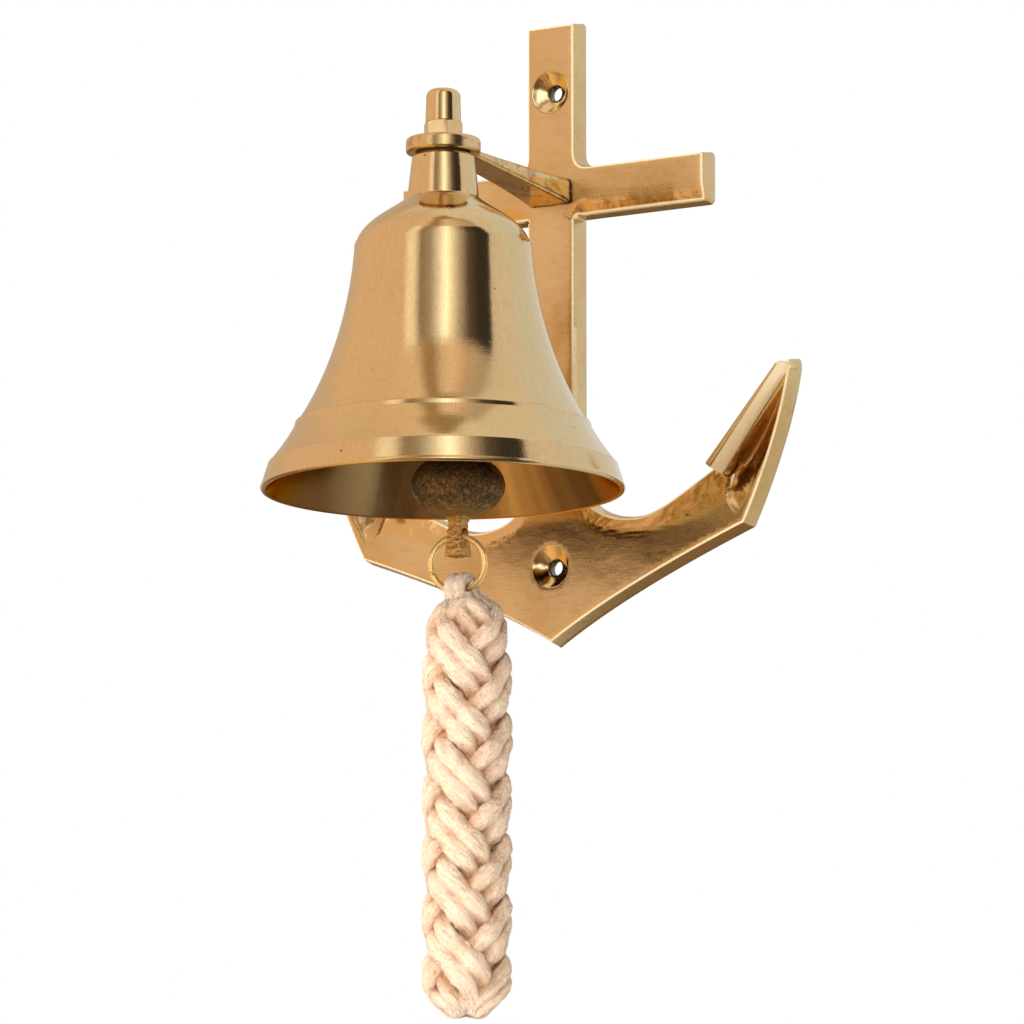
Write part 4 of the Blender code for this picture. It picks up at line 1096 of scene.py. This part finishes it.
def along(path, outwards):
    """Each point of a cord's path with the length so far, the way out square to it, and the way across."""
    run = 0.0
    for i, (point, outward) in enumerate(zip(path, outwards)):
        tangent = (path[min(i + 1, len(path) - 1)] - path[max(i - 1, 0)]).normalized()
        outward = (outward - tangent * outward.dot(tangent)).normalized()
        run += (point - path[max(i - 1, 0)]).length
        yield point, run, outward, tangent.cross(outward)


def add_strand(bm, lay, depth, index, hand):
    """One doubled strand of the braid: a soft flat tube with a groove down its middle."""
    stations = braid_strand(index, hand)
    frames = along([station[0] for station in stations], [station[1] for station in stations])
    around = 40
    rings = []
    for (point, run, outward, across), (_, _, thickness, width) in zip(frames, stations):
        ring = []
        for phi in (math.tau * k / around for k in range(around)):
            rough = 1.0 + 0.035 * math.cos(6 * phi + 0.5 * math.sin(run * 0.25 + index))
            rough += 0.022 * math.cos(17 * phi - run * 0.55)
            groove = 1.0 - 0.55 * math.exp(-(math.cos(phi) / 0.21) ** 2)
            offset = across * math.cos(phi) * width * rough
            offset += outward * math.sin(phi) * thickness * rough * groove
            spot = point + offset
            fuzz = noise.noise(spot * 0.55) * 0.35 + noise.noise(spot * 1.3) * 0.25
            fuzz += wobble(run * 0.35, phi * 5.5, index * 9.0 + hand) * 0.30
            spot += offset.normalized() * fuzz
            envelope = braid_envelope(BRAID_TOP - spot.z)
            reach, limit = math.hypot(spot.x, spot.y), 11.6 * max(envelope, 0.35)
            if reach > limit:
                squeeze = (limit + (reach - limit) * 0.6) / reach
                spot = Vector((spot.x * squeeze, spot.y * squeeze, spot.z))
            vert = bm.verts.new((spot.x + BRAID_X, spot.y + BRAID_Y, spot.z))
            vert[lay] = Vector((run + index * 37.0, phi * 4.0, 0.05 * run + hand * 11.0))
            # How deep the point lies in the braid, for the cord's painted crevice shade.
            vert[depth] = clamped((max(envelope, 0.3) * 12.3 - math.hypot(spot.x, spot.y)) / 5.0)
            ring.append(vert)
        rings.append(ring)
    join_rings(bm, rings)


def add_eye_cord(bm, lay, depth, number):
    """One of the two cords over the ring's lowest wire, both its ends running down into the braid's head."""
    x = RING_CENTRE.x / MM + 1.2 + (-1.35, 1.35)[number]
    y, z = RING_CENTRE.y / MM, RING_LOW.z / MM + 0.85
    sunk = BRAID_TOP - 7.0
    path = []
    for t in (i / 12 for i in range(13)):
        path.append(Vector((BRAID_X + (x - BRAID_X) * t**0.7, y - 2.0 - 1.35 * t, sunk + (z - sunk) * t)))
    mirrored = [Vector((p.x, 2 * y - p.y, p.z)) for p in reversed(path)]
    path += [Vector((x, *spot)) for spot in arc((y, z), 3.35, 180.0, 0.0, 20)[1:-1]] + mirrored
    around = 20
    rings = []
    for i, (point, run, side, across) in enumerate(along(path, [Vector((1.0, 0.0, 0.0))] * len(path))):
        radius = 1.75 + 0.5 * min(1.0, abs(i - len(path) / 2) / 20)
        ring = []
        for phi in (math.tau * k / around for k in range(around)):
            yarn = radius * (1 + 0.06 * math.cos(5 * phi - run * 0.6))
            offset = (side * math.cos(phi) + across * math.sin(phi)) * yarn
            spot = point + offset
            spot += offset.normalized() * (noise.noise(spot * 0.9) * 0.2 + noise.noise(spot * 2.3) * 0.08)
            vert = bm.verts.new(spot)
            vert[lay] = Vector((run + number * 19.0, phi * 3.0, 40.0 + number))
            # No painted crevice shade on the eye cords.
            vert[depth] = 0.0
            ring.append(vert)
        rings.append(ring)
    join_rings(bm, rings)


def make_lanyard(material):
    """Eight soft strands braided round the core, and the eye that their bent middles make over the ring."""
    bm = bmesh.new()
    lay = bm.verts.layers.float_vector.new("lay")
    depth = bm.verts.layers.float.new("depth")
    for hand in (1, -1):
        for index in range(4):
            add_strand(bm, lay, depth, index, hand)
    for number in (0, 1):
        add_eye_cord(bm, lay, depth, number)
    braid = link_object("braided_cord", bm, None, 75.0)
    show(braid, material, "lanyard", "cotton_cord", "lanyard_braid", "lanyard_core")


# ---------------------------------------------------------------- carried-over CAD nodes


def dress_node(name, material, bevel=0.0):
    """Gives a CAD node a finish, and smooths its facets with modifiers that leave its mesh alone."""
    node = frame["nodes"][name]
    mesh = node.data
    if "custom_normal" in mesh.attributes:
        mesh.attributes.remove(mesh.attributes["custom_normal"])
    for polygon in mesh.polygons:
        polygon.use_smooth = True
    weld = node.modifiers.new("weld", "WELD")
    weld.merge_threshold = 0.01 * MM
    if bevel:
        round_over = node.modifiers.new("edges", "BEVEL")
        round_over.width = bevel * MM
        round_over.segments = 2
        round_over.limit_method = "ANGLE"
        round_over.angle_limit = math.radians(50)
    split = node.modifiers.new("facets", "EDGE_SPLIT")
    split.split_angle = math.radians(35)
    mesh.materials.clear()
    mesh.materials.append(material)


# ---------------------------------------------------------------- studio

CAMERA_AZIMUTH = math.radians(32.5)
CAMERA_ELEVATION = math.radians(-9.3)
CAMERA_AIM = Vector((0.0162, -0.0517, -0.0606))
CAMERA_DISTANCE = 2.36
LENS = 299.0
SENSOR = 36.0
FLOOR_PLACE = (0.0, 0.0, -0.85)
FLOOR_HALF = 6000.0
PALE = (0.78, 0.79, 0.80)
# The room's colours by degrees to the camera's right: at eye level, above it, overhead and below it.
EYE_LEVEL = (
    (-180, (0.62, 0.49, 0.37)), (-165, (0.62, 0.49, 0.37)), (-120, (0.90, 0.64, 0.47)),
    (-52, (0.90, 0.64, 0.47)), (-44, (1.25, 1.10, 0.98)), (-37, (1.15, 1.0, 0.88)),
    (-29, (0.34, 0.25, 0.17)), (-16, (0.50, 0.42, 0.35)), (-6, (1.05, 0.98, 0.92)), (4, (1.9, 1.85, 1.75)),
    (12, (1.2, 1.1, 1.0)), (21, (0.62, 0.53, 0.46)), (33, (0.14, 0.10, 0.075)), (46, (0.05, 0.042, 0.036)),
    (62, (0.05, 0.042, 0.036)), (65, (0.82, 0.72, 0.66)), (80, (0.84, 0.76, 0.70)), (110, PALE),
    (145, PALE),
)
ABOVE = (
    (-180, (0.84, 0.76, 0.66)), (-140, (0.80, 0.62, 0.46)), (-60, (0.90, 0.66, 0.48)),
    (-36, (0.92, 0.70, 0.52)), (-22, (0.46, 0.30, 0.17)), (-12, (0.44, 0.29, 0.16)),
    (0, (0.88, 0.66, 0.50)), (14, (1.0, 0.74, 0.57)), (34, (0.70, 0.52, 0.40)), (58, (0.55, 0.46, 0.38)),
    (68, (0.84, 0.75, 0.66)), (145, (0.86, 0.80, 0.72)),
)
OVERHEAD = (
    (-180, (0.88, 0.80, 0.68)), (-100, (0.86, 0.66, 0.48)), (-58, (0.92, 0.72, 0.54)),
    (-40, (0.50, 0.34, 0.20)), (0, (0.40, 0.26, 0.145)), (42, (0.46, 0.33, 0.21)), (56, (0.90, 0.80, 0.66)),
    (145, (0.88, 0.80, 0.68)),
)
BELOW = (
    (-180, (0.24, 0.15, 0.08)), (-120, (0.30, 0.18, 0.09)), (-85, (0.85, 0.50, 0.20)),
    (-55, (1.05, 0.62, 0.25)), (-30, (0.50, 0.28, 0.10)), (10, (0.16, 0.09, 0.04)),
    (60, (0.14, 0.09, 0.05)), (72, (0.72, 0.64, 0.54)), (145, (0.66, 0.62, 0.54)),
)


def place_looking(thing, place, aim):
    bpy.context.scene.collection.objects.link(thing)
    thing.location = place
    thing.rotation_mode = "QUATERNION"
    thing.rotation_quaternion = (Vector(aim) - Vector(place)).to_track_quat("-Z", "Y")


def make_camera():
    azimuth, flat = CAMERA_AZIMUTH, math.cos(CAMERA_ELEVATION)
    back = Vector((math.sin(azimuth) * flat, -math.cos(azimuth) * flat, math.sin(CAMERA_ELEVATION)))
    data = bpy.data.cameras.new("camera")
    data.lens = LENS
    data.sensor_width = SENSOR
    data.clip_end = 50.0
    camera = bpy.data.objects.new("camera", data)
    place_looking(camera, CAMERA_AIM + back * CAMERA_DISTANCE, CAMERA_AIM)
    bpy.context.scene.camera = camera


def make_world():
    """White to the camera; to the metal, a studio with warm cards, a bright front light and a dark flag."""
    world = bpy.data.worlds.new("studio")
    bpy.context.scene.world = world
    g = Graph(world)
    x, y, z = g.parts(g.node("TexCoord").outputs["Generated"])
    turn = g.plus(g.math("DIVIDE", g.math("ARCTAN2", x, g.times(y, -1.0)), math.tau), 0.5)
    front = math.degrees(CAMERA_AZIMUTH)

    def zone(first, stops):
        placed = [((degrees + front + 180.0) % 360.0 / 360.0, colour) for degrees, colour in stops]
        return g.ramp(turn, first + placed)

    room = zone([(0.0, PALE), (20.0 / 360.0, PALE)], EYE_LEVEL)
    for stops, low, high in ((ABOVE, 0.755, 0.80), (OVERHEAD, 0.96, 0.975), (BELOW, -0.03, -0.20)):
        room = g.blend(g.span(z, low, high), room, zone([(0.0, stops[0][1])], stops))
    seen = g.node("LightPath").outputs["Is Camera Ray"]
    lit = g.node("Background", {"Color": room, "Strength": 1.0})
    plain = g.node("Background", {"Color": (1.0, 1.0, 1.0), "Strength": 1.0})
    mixed = g.node("MixShader", {0: seen, 1: lit.outputs[0], 2: plain.outputs[0]})
    g.node("OutputWorld", {"Surface": mixed.outputs[0]})


def make_light(name, place, aim, size, power, colour):
    data = bpy.data.lights.new(name, "AREA")
    data.shape = "RECTANGLE"
    data.size, data.size_y = size
    data.energy = power
    data.color = colour
    light = bpy.data.objects.new(name, data)
    light.visible_glossy = False
    place_looking(light, place, aim)


def make_floor():
    bm = bmesh.new()
    bmesh.ops.create_grid(bm, x_segments=1, y_segments=1, size=FLOOR_HALF)
    floor = link_object("studio_floor", bm, FLOOR_PLACE)
    g = new_material("pale_floor")
    fleck = g.noise(g.millimetres(), 0.02, 3.0, 0.5)
    colour = g.blend(g.span(fleck, 0.3, 0.7), (0.84, 0.84, 0.83), (0.88, 0.88, 0.87))
    glow = {"Emission Color": (1.0, 1.0, 1.0), "Emission Strength": 0.35}
    floor.data.materials.append(g.finish(colour, 0.6, g.bumps((fleck, 0.1)), 0.0, **glow))
    floor.visible_glossy = False


def make_studio():
    make_camera()
    make_world()
    make_floor()
    make_light("key", (-0.9, -1.5, 1.2), (0.0, -0.05, -0.05), (0.8, 0.8), 30.0, (1.0, 0.97, 0.92))
    make_light("front", (0.8, -1.9, -0.1), (0.0, -0.05, -0.10), (0.5, 0.9), 29.0, (1.0, 0.98, 0.95))
    make_light("fill", (-1.1, -1.7, -0.5), (0.0, -0.05, -0.10), (0.6, 0.6), 14.0, (1.0, 0.98, 0.95))
    view = bpy.context.scene.view_settings
    view.view_transform = "Standard"
    view.look = "None"


# ---------------------------------------------------------------- everything


def make_ship_bell():
    turned_finish, brushed = turned_brass(), brushed_brass()
    # seam places the painted shade along the arm's root, where it meets the plate.
    polished = brushed_brass("polished_casting", (1.0, 0.15, 1.0), 0.16, stain=0.7, seam=-6.6)
    drawn, bronze = wire_brass(), cast_bronze()
    make_bell(turned_finish)
    make_anchor(brushed)
    make_arm(polished)
    make_dome_nut(turned_finish)
    make_hook(drawn)
    make_link(drawn)
    make_clapper(bronze)
    make_ring(drawn)
    make_lanyard(cotton())
    dress_node("arm_screw", drawn, 0.12)
    dress_node("crown_washer", near_black_washer(), 0.08)
    dress_node("lock_washer", brushed, 0.1)
    dress_node("lock_nut", brushed)


make_ship_bell()
make_studio()
